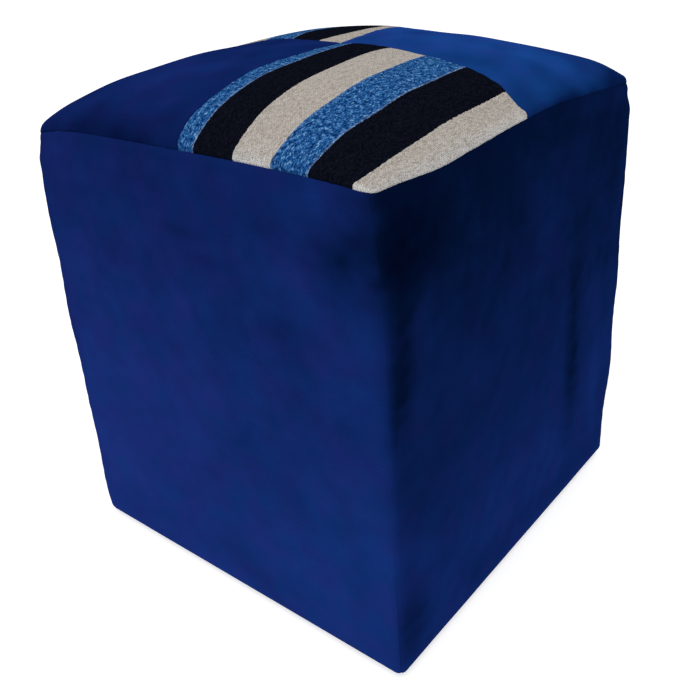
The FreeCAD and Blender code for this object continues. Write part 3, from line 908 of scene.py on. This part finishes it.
slab_under, slab_face = (
    carried_round(face_share * slab_half[end], slab_z[end], face_share * wall_bulge[end]) for end in (0, -1)
)
slab_wall = carried_round(slab_half, slab_z, wall_bulge)
seat_foam = padding("seat_foam", "seat_slab", [slab_under, slab_wall, slab_face[::-1]])

# %% [markdown]
# The pad gives the seat its crown, and the fleece on it softens the foam's edge under the cloth. They share a
# face: the underside of the fleece is the top of the pad, so no gap can open between them.

# %% Crown pad and fleece
DOME_STEPS = 30
FLEECE_EDGE = 1.5 * MM  # height of one step of the fleece's edge
FLEECE_EDGE_STEPS = 4
FLEECE_INSET = 3 * MM  # keeps the fleece's edge clear of the cover
FLEECE_FALL = 24  # the fleece falls off by this power of the way out
pad_low, pad_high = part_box("crown_pad")
dome_share = np.sin(np.linspace(0, math.pi / 2, DOME_STEPS))
pad_out = pad_high.x * dome_share
pad_under = carried_round(pad_out, pad_low.z)
pad_face = carried_round(pad_out, crown_under(Z_TOP - pad_high.z))
crown_foam = padding("crown_foam", "crown_pad", [pad_under, pad_face[::-1]])

fleece_low, fleece_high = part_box("top_wadding")
fleece_half = fleece_high.x - FLEECE_INSET
fleece_out = np.concatenate([fleece_half * dome_share[:-1], np.full(FLEECE_EDGE_STEPS, fleece_half)])
fleece_steps = np.concatenate([dome_share[:-1] ** FLEECE_FALL, np.arange(FLEECE_EDGE_STEPS) + 1])
fleece_rim = carried_round(np.array([pad_out[-1], fleece_half]), fleece_low.z)
fleece_face = carried_round(fleece_out, crown_under(Z_TOP - fleece_high.z))
fleece_face[..., 2] -= FLEECE_EDGE * fleece_steps[:, None]
fleece_rings = [pad_face, fleece_rim, fleece_face[::-1]]
fleece_top = padding("fleece_top", "top_wadding", fleece_rings)

# %% [markdown]
# A side's foam is a thin sheet glued to its board, so it is the skin of the side again, a little further
# in, with Solidify giving it the thickness down to the board. It stops short of the corners, to leave room
# for the seam allowance.

# %% Side foams
FOAM_STEPS = 40
FOAM_TURN = 0.6  # share of its half of each rounded corner that a foam sheet goes round
FOAM_REACH = 1 + FOAM_TURN * ARC_SHARE
BOARD_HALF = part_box("side_board_front")[1].x  # the front board ends at the outer faces of its neighbours
FOAM_THICKNESS = COVER_HALF - PADDING_INSET - BOARD_HALF


def side_foam(side):
    """Sheet of foam on one side: the wall of the skin, moved in by the cover, between base and deck."""
    low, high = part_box(f"side_foam_{side}")
    wall_start = HEM_FLOOR + HEM_ARC - Z_HEM - HEM_RADIUS
    w = np.linspace(-FOAM_REACH, FOAM_REACH, FOAM_STEPS)[None, :]
    length = wall_start + np.linspace(low.z + HEM_RADIUS, high.z, FOAM_STEPS)[:, None]
    points = side_skin(side, w, length)
    points = points - grid_normals(points) * PADDING_INSET
    piece = new_piece(f"foam_{side}", points, f"side_foam_{side}")
    thicken(piece, FOAM_THICKNESS)
    return piece


side_foams = [side_foam(side) for side in SIDES]
print("side foams", [foam.name for foam in side_foams], "thickness", FOAM_THICKNESS)

# %% [markdown]
# ## Dust cover
# The underside is closed with thin black spun cloth, stapled round its edge. It hangs a hair lower inside
# the staples, and in the middle most of all, so the sheet is a flat grid with a shallow sag and a soft wave
# that dies out towards the edge.

# %% Dust cover
DUST_STEPS = 90
DUST_SAG = 1.2 * MM
DUST_WAVE = 0.25 * MM
DUST_WAVE_SIZE = 70 * MM
DUST_THICKNESS = 0.5 * MM
dust_low, dust_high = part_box("dust_cover")
dust_line = np.linspace(-1, 1, DUST_STEPS)
dust_x, dust_y = np.meshgrid(dust_line[::-1], dust_line)
dust_sag = DUST_SAG * (1 - dust_x**2) * (1 - dust_y**2)
dust_points = np.stack([dust_x * dust_high.x, dust_y * dust_high.y, dust_low.z - dust_sag], axis=-1)
dust_wave = DUST_WAVE * relief(dust_points, DUST_WAVE_SIZE, RELIEF_SEED + 2)
dust_points[..., 2] += dust_wave * (1 - dust_x**4) * (1 - dust_y**4)
dust_cloth = new_piece("dust_cloth", dust_points, "dust_cover")
thicken(dust_cloth, DUST_THICKNESS)

# %% [markdown]
# ## Materials
# A material here is a small tree of nodes. A few helpers keep the trees readable: they add a node with its
# settings and links, a colour ramp, a mix, a sum, noise or relief. Patterns read Object coordinates, in
# metres, or the numbers kept in the mesh.

# %% Helpers for nodes
def add_node(tree, kind, inputs=None, **settings):
    """Adds a shader node. An input is a constant, or another node's output to link from."""
    made = tree.nodes.new("ShaderNode" + kind)
    for key, value in settings.items():
        setattr(made, key, value)
    for key, value in (inputs or {}).items():
        if isinstance(value, bpy.types.NodeSocket):
            tree.links.new(value, made.inputs[key])
        else:
            made.inputs[key].default_value = value
    return made


def add_ramp(tree, factor, stops, interpolation="LINEAR"):
    """Colour by the factor, through stops that are each a place from 0 to 1 and a colour or a grey."""
    ramp = add_node(tree, "ValToRGB", {"Fac": factor})
    ramp.color_ramp.interpolation = interpolation
    points = ramp.color_ramp.elements
    while len(points) < len(stops):
        points.new(0.5)
    for point, (place, colour) in zip(points, stops):
        point.position = place
        point.color = (*np.broadcast_to(colour, 3).tolist(), 1)
    return ramp.outputs["Color"]


def add_mix(tree, factor, first, second, blend="MIX"):
    """Mix of two colours, each a constant or an output."""
    first, second = ((*value, 1) if isinstance(value, tuple) else value for value in (first, second))
    mix = add_node(tree, "Mix", {0: factor, 6: first, 7: second}, data_type="RGBA", blend_type=blend)
    return mix.outputs[2]


def add_math(tree, operation, *values):
    """Sum, product or the like of numbers, each a constant or an output."""
    return add_node(tree, "Math", dict(enumerate(values)), operation=operation).outputs[0]


def mesh_value(tree, name):
    """A number that is kept at each point of the mesh."""
    return add_node(tree, "Attribute", attribute_name=name).outputs["Fac"]


def object_place(tree, scale=(1, 1, 1)):
    """Object coordinates, stretched by a Mapping node."""
    place = add_node(tree, "TexCoord").outputs["Object"]
    return add_node(tree, "Mapping", {"Vector": place, "Scale": scale}).outputs["Vector"]


def add_noise(tree, place, scale, detail, roughness=0.5):
    """Noise from 0 to 1, with so many clouds to the metre."""
    inputs = {"Vector": place, "Scale": scale, "Detail": detail, "Roughness": roughness}
    return add_node(tree, "TexNoise", inputs).outputs["Fac"]


# %% [markdown]
# Every finish starts from the Principled shader. What is the same all over is a constant on the shader's own
# socket, and only what varies is linked to it. Fine relief is a bump in the shading, because yarn and pile
# are far too small to be modelled.

# %% Helpers for materials
def new_material(name, **constants):
    """Material with a Principled shader, whose constants are set on its own sockets."""
    material = bpy.data.materials.new(name)
    material.use_nodes = True
    shader = material.node_tree.nodes["Principled BSDF"]
    for key, value in constants.items():
        shader.inputs[key.replace("_", " ")].default_value = value
    return material, material.node_tree, shader


def add_bump(tree, shader, height, distance, strength=1.0):
    """Relief in the surface's shading, with the distance in metres."""
    bump = add_node(tree, "Bump", {"Height": height, "Distance": distance, "Strength": strength})
    tree.links.new(bump.outputs["Normal"], shader.inputs["Normal"])


def paint(tree, shader, colour, roughness=None):
    """Links the colour, and the roughness where it varies, to the shader."""
    tree.links.new(colour, shader.inputs["Base Color"])
    if roughness is not None:
        tree.links.new(roughness, shader.inputs["Roughness"])


def dress(pieces, material):
    """Gives each piece the material in its only slot."""
    for piece in pieces:
        piece.data.materials.clear()
        piece.data.materials.append(material)
    print(material.name, "on", len(pieces), "pieces")


# %% [markdown]
# ## Velvet
# Velvet is dark where one looks into the pile and light where one looks along it. The nap number sets how the
# pile lies and also carries painted light and shade, finer noise breaks it into strokes, and sheen lights the
# rims. The patches of the top are the same cloth turned another way, so they share the function and differ in
# their colours.

# %% Velvet
NAP_STOPS = (0.0, 0.23, 0.5, 0.77, 1.0)
DEEPEST = 0.2  # of the deep colour, where the nap is lowest
LIGHTEST = 1.7  # of the light colour, where it is highest
STROKE_SHARE = 0.2  # how much finer strokes add to the nap
GRAIN_SHARE = 0.2  # and how much the grain adds
NAP_SCALE = (0.6, 0.08)  # factor and offset that bring the sum to the stops


def velvet(name, deep, middle, light):
    """Pile whose colour runs from deep to light with the nap and the painted light and shade it carries, is
    redder to the left, and has a fine grain.
    """
    material, tree, shader = new_material(
        name, Roughness=1.0, Specular_IOR_Level=0.0, Sheen_Weight=0.12, Sheen_Roughness=0.4,
        Sheen_Tint=(0.04, 0.14, 0.8, 1),
    )
    place = object_place(tree)
    strokes = add_noise(tree, object_place(tree, (0.7, 0.7, 1)), scale=50, detail=5, roughness=0.6)
    grain = add_noise(tree, place, scale=1100, detail=2)
    # The nap number holds painted light and shade besides the lie of the pile.
    lie_and_shading = add_math(tree, "MULTIPLY_ADD", strokes, STROKE_SHARE, mesh_value(tree, "nap_and_shading"))
    lie_and_shading = add_math(tree, "MULTIPLY_ADD", grain, GRAIN_SHARE, lie_and_shading)
    lie_and_shading = add_math(tree, "MULTIPLY_ADD", lie_and_shading, *NAP_SCALE)
    shades = ([part * DEEPEST for part in deep], deep, middle, light, [part * LIGHTEST for part in light])
    colour = add_ramp(tree, lie_and_shading, list(zip(NAP_STOPS, shades)))
    x = add_node(tree, "SeparateXYZ", {"Vector": place}).outputs["X"]
    drift = add_math(tree, "MULTIPLY_ADD", x, 0.5, add_noise(tree, place, scale=38, detail=3))
    tint = add_ramp(tree, drift, [(0.35, (1.25, 0.92, 1.0)), (0.65, (0.75, 1.08, 1.0))])
    paint(tree, shader, add_mix(tree, 1.0, colour, tint, "MULTIPLY"))
    add_bump(tree, shader, grain, 0.4 * MM, 0.5)
    return material


side_velvet = velvet("side velvet", (0.0012, 0.006, 0.033), (0.0064, 0.0195, 0.131), (0.0135, 0.043, 0.26))
left_velvet = velvet("top velvet dark", (0.001, 0.004, 0.03), (0.0052, 0.0168, 0.112), (0.011, 0.034, 0.2))
right_velvet = velvet("top velvet light", (0.002, 0.012, 0.07), (0.0095, 0.051, 0.25), (0.018, 0.09, 0.43))
dress(side_panels, side_velvet)
dress([patches["front_left"]], left_velvet)
dress([patches["back_right"]], right_velvet)

# %% [markdown]
# ## Striped flat weave
# The striped cloth is a weft-faced flat weave: thick yarns packed side by side along the stripes, so its
# face is rows of small beads. A brick pattern gives the beads, each a little lighter or darker. The stripe
# number picks the yarn: smooth black, linen beige with darker flecks, and a heathered blue. The borders
# waver by about half a bead, and pale loose threads show along them and at the rim.

# %% Yarns, beads and loose threads
BEAD_LENGTH = 2.6 * MM
BEAD_WIDTH = 1.1 * MM
BEAD_GAP = 0.2 * MM
WAVER = 0.045  # of a stripe's width


def yarn_beads(tree, cloth):
    """Brick pattern on the cloth: the shade of each bead, and the groove round it."""
    beads = add_node(tree, "TexBrick", {
        "Vector": cloth, "Color1": (0.2, 0.2, 0.2, 1), "Color2": (0.8, 0.8, 0.8, 1),
        "Mortar": (0.5, 0.5, 0.5, 1), "Scale": 1.0, "Mortar Size": BEAD_GAP, "Mortar Smooth": 1.0,
        "Brick Width": BEAD_LENGTH, "Row Height": BEAD_WIDTH,
    })
    return beads.outputs["Color"], beads.outputs["Fac"]


def wavering_stripe(tree, cloth):
    """Stripe number, moved to and fro by noise."""
    wander = add_noise(tree, cloth, scale=300, detail=2)
    stripe = add_math(tree, "MULTIPLY_ADD", wander, WAVER, mesh_value(tree, "stripe"))
    return add_math(tree, "SUBTRACT", stripe, WAVER / 2)


def loose_threads(tree, stripe, dyed, beige, fleck):
    """How much loose thread shows: at the rim of the beige and along borders, but not on black yarn."""
    border = add_ramp(tree, add_math(tree, "PINGPONG", stripe, 0.5), [(0.0, 0.22), (0.05, 0)])
    frayed = add_math(tree, "MULTIPLY", mesh_value(tree, "fray"), beige)
    loose = add_math(tree, "MAXIMUM", frayed, border)
    threads = add_ramp(tree, fleck, [(0.35, 0), (0.6, 1)])
    return add_math(tree, "MULTIPLY", loose, add_math(tree, "MULTIPLY", dyed, threads))


# %% [markdown]
# The whole cloth mixes the three yarns by masks, one for each yarn, which a ramp of equal steps gives from
# the stripe number. Each yarn has its own ramp of colours over fine noise. The loose threads, the shade of
# each bead and the grooves then lie over all of them.

# %% Striped cloth
YARN_MASKS = ((1, 0, 0), (0, 1, 0), (0, 0, 1))  # blue, black and beige, in the order of the stripes
BLUES = (
    (0.36, (0.003, 0.024, 0.11)), (0.48, (0.012, 0.09, 0.31)), (0.58, (0.045, 0.19, 0.49)),
    (0.7, (0.27, 0.5, 0.76)),
)
BEIGES = ((0.28, (0.27, 0.22, 0.17)), (0.42, (0.487, 0.442, 0.396)), (0.7, (0.65, 0.598, 0.542)))
BLACKS = ((0.3, (0.002, 0.0027, 0.006)), (0.7, (0.008, 0.010, 0.019)))
LOOSE_THREAD = (0.9, 0.92, 0.95)
HEATHER_MOTTLE = 0.55  # how much larger blotches change the blue yarn
FLECK_MOTTLE = 0.25  # and the beige and black yarns
BEAD_CONTRAST = 0.7
GROOVE_SHADE = 0.3


def striped_cloth():
    """Beads of three yarns, chosen by the stripe number, with heather, flecks and wavering borders."""
    material, tree, shader = new_material("striped cloth", Roughness=1.0, Specular_IOR_Level=0.0)
    across, along = mesh_value(tree, "across"), mesh_value(tree, "along")
    cloth = add_node(tree, "CombineXYZ", {"X": along, "Y": across}).outputs["Vector"]
    bead_shade, groove = yarn_beads(tree, cloth)
    stripe = wavering_stripe(tree, cloth)
    stops = [(i / STRIPE_COUNT, YARN_MASKS[i % len(YARN_MASKS)]) for i in range(STRIPE_COUNT)]
    yarn = add_ramp(tree, add_math(tree, "DIVIDE", stripe, STRIPE_COUNT), stops, "CONSTANT")
    masks = add_node(tree, "SeparateColor", {"Color": yarn}).outputs
    stretched = add_node(tree, "Mapping", {"Vector": cloth, "Scale": (0.6, 1, 1)}).outputs["Vector"]
    mottle = add_math(tree, "SUBTRACT", add_noise(tree, cloth, scale=250, detail=2), 0.5)
    heather = add_noise(tree, stretched, scale=780, detail=3, roughness=0.7)
    heather = add_math(tree, "MULTIPLY_ADD", mottle, HEATHER_MOTTLE, heather)
    fleck = add_noise(tree, cloth, scale=900, detail=2, roughness=0.6)
    fleck = add_math(tree, "MULTIPLY_ADD", mottle, FLECK_MOTTLE, fleck)
    colour = add_mix(tree, masks["Red"], add_ramp(tree, fleck, BLACKS), add_ramp(tree, heather, BLUES))
    colour = add_mix(tree, masks["Blue"], colour, add_ramp(tree, fleck, BEIGES))
    dyed = add_math(tree, "ADD", masks["Red"], masks["Blue"])
    loose = loose_threads(tree, stripe, dyed, masks["Blue"], fleck)
    colour = add_mix(tree, loose, colour, LOOSE_THREAD)
    shaded = add_mix(tree, BEAD_CONTRAST, colour, bead_shade, "SOFT_LIGHT")
    sunk = add_math(tree, "MULTIPLY", groove, GROOVE_SHADE)
    paint(tree, shader, add_mix(tree, sunk, shaded, (0, 0, 0)))
    height = add_math(tree, "SUBTRACT", add_math(tree, "MULTIPLY", heather, 0.6), groove)
    add_bump(tree, shader, height, 0.35 * MM, 0.6)
    return material


dress([patches["front_right"], patches["back_left"]], striped_cloth())

# %% [markdown]
# ## Finishes of the padding
# These only show from below or when a cover is off, but each still has the grain of the real thing: cells
# in the foam, fibres in the fleece and bonded spots in the dust cloth. Photographs of the stuff could be
# laid on, but a pattern worked out in space has no seams and fits any shape.

# %% Foam, fleece and dust cloth
def foam_finish():
    """Cream foam with small open cells."""
    material, tree, shader = new_material("foam", Roughness=0.9, Specular_IOR_Level=0.2)
    cells = add_node(tree, "TexVoronoi", {"Vector": object_place(tree), "Scale": 700}).outputs["Distance"]
    creams = [(0.0, (0.45, 0.38, 0.24)), (0.5, (0.78, 0.72, 0.55)), (1.0, (0.84, 0.79, 0.63))]
    paint(tree, shader, add_ramp(tree, cells, creams))
    add_bump(tree, shader, cells, 0.5 * MM, 0.6)
    return material


def fleece_finish():
    """White fleece of long tangled fibres."""
    material, tree, shader = new_material("wadding", Roughness=0.95, Specular_IOR_Level=0.1, Sheen_Weight=0.4)
    fibres = add_noise(tree, object_place(tree, (1, 0.15, 1)), scale=600, detail=5, roughness=0.7)
    paint(tree, shader, add_ramp(tree, fibres, [(0.3, (0.7, 0.7, 0.68)), (0.7, (0.88, 0.88, 0.86))]))
    add_bump(tree, shader, fibres, 1.0 * MM, 0.5)
    return material


def dust_cloth_finish():
    """Black spun cloth with a grid of small bonded spots."""
    material, tree, shader = new_material("dust cloth", Roughness=0.75, Specular_IOR_Level=0.3)
    place = object_place(tree)
    spots = add_node(tree, "TexVoronoi", {"Vector": place, "Scale": 650, "Randomness": 0.1})
    fibres = add_noise(tree, place, scale=900, detail=4, roughness=0.7)
    blacks = [(0.3, (0.006, 0.006, 0.007)), (0.7, (0.022, 0.022, 0.024))]
    paint(tree, shader, add_ramp(tree, fibres, blacks))
    add_bump(tree, shader, spots.outputs["Distance"], 0.15 * MM, 0.5)
    return material


dress([seat_foam, crown_foam, *side_foams], foam_finish())
dress([fleece_top], fleece_finish())
dress([dust_cloth], dust_cloth_finish())

# %% [markdown]
# ## Finishes of the frame
# Pine has growth rings that run the length of a rail, so there is one pine for each direction. The deck
# shows its plies at the edge, and the boards their pressed fibres.

# %% Wood
GRAIN_STRETCH = 0.06  # scale of the rings along the grain, against 1 across it
PORE_STRETCH = 0.1  # of that scale, because pores are longer still
RING_COUNT = 9.0  # rings from the darkest to the lightest noise


def pine(name, along):
    """Pine with grain along one axis: stretched rings in bands of early and late wood, and fine pores."""
    material, tree, shader = new_material(name, Roughness=0.6, Specular_IOR_Level=0.3)
    ring_scale, pore_scale = (
        tuple(stretch if axis == along else 1.0 for axis in range(3))
        for stretch in (GRAIN_STRETCH, GRAIN_STRETCH * PORE_STRETCH)
    )
    rings = add_noise(tree, object_place(tree, ring_scale), scale=70, detail=3, roughness=0.55)
    bands = add_math(tree, "FRACT", add_math(tree, "MULTIPLY", rings, RING_COUNT))
    pores = add_noise(tree, object_place(tree, pore_scale), scale=900, detail=2)
    woods = [(0.0, (0.62, 0.45, 0.26)), (0.75, (0.55, 0.37, 0.19)), (1.0, (0.38, 0.22, 0.1))]
    pore_colour = add_ramp(tree, pores, [(0.3, (0.3, 0.2, 0.1)), (0.6, (0.7, 0.55, 0.35))])
    paint(tree, shader, add_mix(tree, 0.25, add_ramp(tree, bands, woods), pore_colour))
    add_bump(tree, shader, pores, 0.1 * MM, 0.4)
    return material


def plywood():
    """Deck board: veneer figure on its faces and thin plies stacked in height."""
    material, tree, shader = new_material("plywood", Roughness=0.65, Specular_IOR_Level=0.25)
    figure = add_noise(tree, object_place(tree, (0.1, 1, 1)), scale=60, detail=4, roughness=0.6)
    stack = {"Vector": object_place(tree), "Scale": 120.0}
    plies = add_node(tree, "TexWave", stack, bands_direction="Z").outputs["Fac"]
    veneer = add_ramp(tree, figure, [(0.3, (0.5, 0.36, 0.21)), (0.7, (0.66, 0.51, 0.33))])
    paint(tree, shader, add_mix(tree, add_math(tree, "MULTIPLY", plies, 0.35), veneer, (0.36, 0.24, 0.13)))
    add_bump(tree, shader, figure, 0.2 * MM, 0.3)
    return material


def hardboard():
    """Brown pressed fibre board with a faint mottle."""
    material, tree, shader = new_material("hardboard", Roughness=0.5, Specular_IOR_Level=0.35)
    mottle = add_noise(tree, object_place(tree), scale=350, detail=5, roughness=0.7)
    paint(tree, shader, add_ramp(tree, mottle, [(0.3, (0.18, 0.1, 0.05)), (0.7, (0.33, 0.2, 0.11))]))
    add_bump(tree, shader, mottle, 0.1 * MM, 0.4)
    return material


# %% [markdown]
# Screws, staples and nails are zinc plated steel with fine scratches, and the glides have the dull skin of a
# moulding, scuffed here and there. In both the roughness varies with the colour, because a scratch or a
# scuff changes the two together.

# %% Steel and plastic
def zinc():
    """Bright zinc on steel with fine drawn scratches."""
    material, tree, shader = new_material("zinc", Metallic=1.0)
    scratches = add_noise(tree, object_place(tree, (1, 1, 0.05)), scale=2500, detail=3)
    colour = add_ramp(tree, scratches, [(0.3, (0.45, 0.45, 0.46)), (0.7, (0.62, 0.62, 0.63))])
    paint(tree, shader, colour, add_ramp(tree, scratches, [(0.3, 0.25), (0.7, 0.45)]))
    return material


def glide_plastic():
    """Black moulded plastic with a spark-eroded skin, scuffed where it slides."""
    material, tree, shader = new_material("glide plastic", Specular_IOR_Level=0.4)
    skin = add_noise(tree, object_place(tree), scale=1800, detail=3)
    scuffs = add_noise(tree, object_place(tree, (1, 0.2, 1)), scale=220, detail=4, roughness=0.7)
    colour = add_ramp(tree, scuffs, [(0.35, (0.010, 0.010, 0.011)), (0.75, 0.05)])
    paint(tree, shader, colour, add_ramp(tree, scuffs, [(0.3, 0.35), (0.7, 0.65)]))
    add_bump(tree, shader, skin, 0.05 * MM, 0.5)
    return material


# %% [markdown]
# The rigid nodes keep the shape of the construction model, so all they need is a finish. There are many of
# them and their names are regular, so the name of a node tells which finish it gets.

# %% Finish of each node
FINISHES = {f"pine_{axis}": pine(f"pine along {axis}", i) for i, axis in enumerate("xyz")}
FINISHES |= {"zinc": zinc(), "plastic": glide_plastic(), "hardboard": hardboard(), "plywood": plywood()}


def finish_of(node):
    """Name of a rigid node's finish. Rails at the front and back run along x, those at the sides along y."""
    if "_rail_" in node:
        return "pine_x" if node.endswith(("front", "back")) else "pine_y"
    if node.startswith("corner_post"):
        return "pine_z"
    if node.startswith("side_board"):
        return "hardboard"
    if node.endswith(("screws", "staples", "nails")):
        return "zinc"
    return "plastic" if node.startswith("glide") else "plywood"


rigid = {name: node for name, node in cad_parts.items() if not node.hide_render}
for finish, material in FINISHES.items():
    dress([node for name, node in rigid.items() if finish_of(name) == finish], material)

# %% [markdown]
# ## Studio
# The photograph is a catalogue picture on white. A large soft lamp stands high in front of the pouf, so its
# right side is in shade, and a pale room fills in. The floor is white to the camera and still takes the
# shadow.

# %% Floor
FLOOR_HALF = 6.0
FLOOR_GREY = 0.85
FLOOR_GLOW = 0.6
scene = bpy.context.scene


def camera_sees(tree):
    """1 for rays that show the background: straight from the camera, mirrored or through glass."""
    path = add_node(tree, "LightPath")
    seen = add_math(tree, "MAXIMUM", path.outputs["Is Camera Ray"], path.outputs["Is Glossy Ray"])
    return add_math(tree, "MAXIMUM", seen, path.outputs["Is Transmission Ray"])


floor_mesh = bpy.data.meshes.new("floor")
floor_corners = FLOOR_HALF * np.array([(-1, -1, 0), (1, -1, 0), (1, 1, 0), (-1, 1, 0)])
floor_mesh.from_pydata(floor_corners.tolist(), [], [(0, 1, 2, 3)])
floor = bpy.data.objects.new("floor", floor_mesh)
scene.collection.objects.link(floor)
floor_paint, floor_tree, floor_shader = new_material(
    "floor", Roughness=0.9, Specular_IOR_Level=0.0, Base_Color=(FLOOR_GREY, FLOOR_GREY, FLOOR_GREY, 1),
    Emission_Color=(1, 1, 1, 1),
)
glow = add_math(floor_tree, "MULTIPLY", camera_sees(floor_tree), FLOOR_GLOW)
floor_tree.links.new(glow, floor_shader.inputs["Emission Strength"])
floor_mesh.materials.append(floor_paint)
print("floor", 2 * FLOOR_HALF, "metres wide")

# %% [markdown]
# The lamp is one large square, because a large lamp gives soft shadows and an even fall of light on cloth.
# The room is dimmer as a light than it is to the camera, which sees it white.

# %% Lamp and room
KEY_PLACE = Vector((0.5, -1.3, 2.6))
KEY_AIM = Vector((0, 0, 0.25))
KEY_POWER = 18
KEY_SIZE = 1.6
ROOM_LEVEL = 0.65
key = bpy.data.lights.new("key lamp", "AREA")
key.energy = KEY_POWER
key.size = KEY_SIZE
key_lamp = bpy.data.objects.new("key lamp", key)
key_lamp.location = KEY_PLACE
key_lamp.rotation_euler = (KEY_PLACE - KEY_AIM).to_track_quat("Z", "Y").to_euler()
scene.collection.objects.link(key_lamp)

room = bpy.data.worlds.new("room")
room.use_nodes = True
scene.world = room
room_tree = room.node_tree
levels = {0: camera_sees(room_tree), 2: ROOM_LEVEL, 3: 1.0}
room_level = add_node(room_tree, "Mix", levels, data_type="FLOAT").outputs[0]
backdrop = room_tree.nodes["Background"]
backdrop.inputs["Color"].default_value = (1, 1, 1, 1)
room_tree.links.new(room_level, backdrop.inputs["Strength"])
scene.view_settings.view_transform = "Standard"
print("lamp of", KEY_POWER, "watts at", tuple(KEY_PLACE), "room at", ROOM_LEVEL)

# %% [markdown]
# ## Camera
# The camera was found from the pouf's six visible corners and its outline in the photograph. It stands
# close, a little above the seat, and is tipped slightly, and the picture was cut off-centre, which the
# shift repeats.

# %% Camera
AZIMUTH = math.radians(40.58)
ELEVATION = math.radians(25.122)
ROLL = math.radians(-3.471)
DISTANCE = 0.943824  # in metres from the origin, as are the next two
ASIDE = -0.004152
ABOVE = 0.204395
PICTURE = 700  # pixels
FOCAL_PIXELS = 866.979
CENTRE_PIXELS = (344.911, 292.065)
SENSOR = 36  # millimetres

back = Vector((
    math.sin(AZIMUTH) * math.cos(ELEVATION), -math.cos(AZIMUTH) * math.cos(ELEVATION), math.sin(ELEVATION)
))
right = Vector((math.cos(AZIMUTH), math.sin(AZIMUTH), 0))
up = back.cross(right)
lens = bpy.data.cameras.new("camera")
lens.sensor_width = SENSOR
lens.lens = FOCAL_PIXELS / PICTURE * SENSOR
lens.shift_x = (PICTURE / 2 - CENTRE_PIXELS[0]) / PICTURE
lens.shift_y = (CENTRE_PIXELS[1] - PICTURE / 2) / PICTURE
camera = bpy.data.objects.new("camera", lens)
turned_right = right * math.cos(ROLL) + up * math.sin(ROLL)
turned_up = up * math.cos(ROLL) - right * math.sin(ROLL)
turned = Matrix((turned_right, turned_up, back)).transposed().to_4x4()
camera.matrix_world = Matrix.Translation(back * DISTANCE + right * ASIDE + up * ABOVE) @ turned
scene.collection.objects.link(camera)
scene.camera = camera
print("camera at", tuple(camera.location), "lens", lens.lens, "shift", lens.shift_x, lens.shift_y)
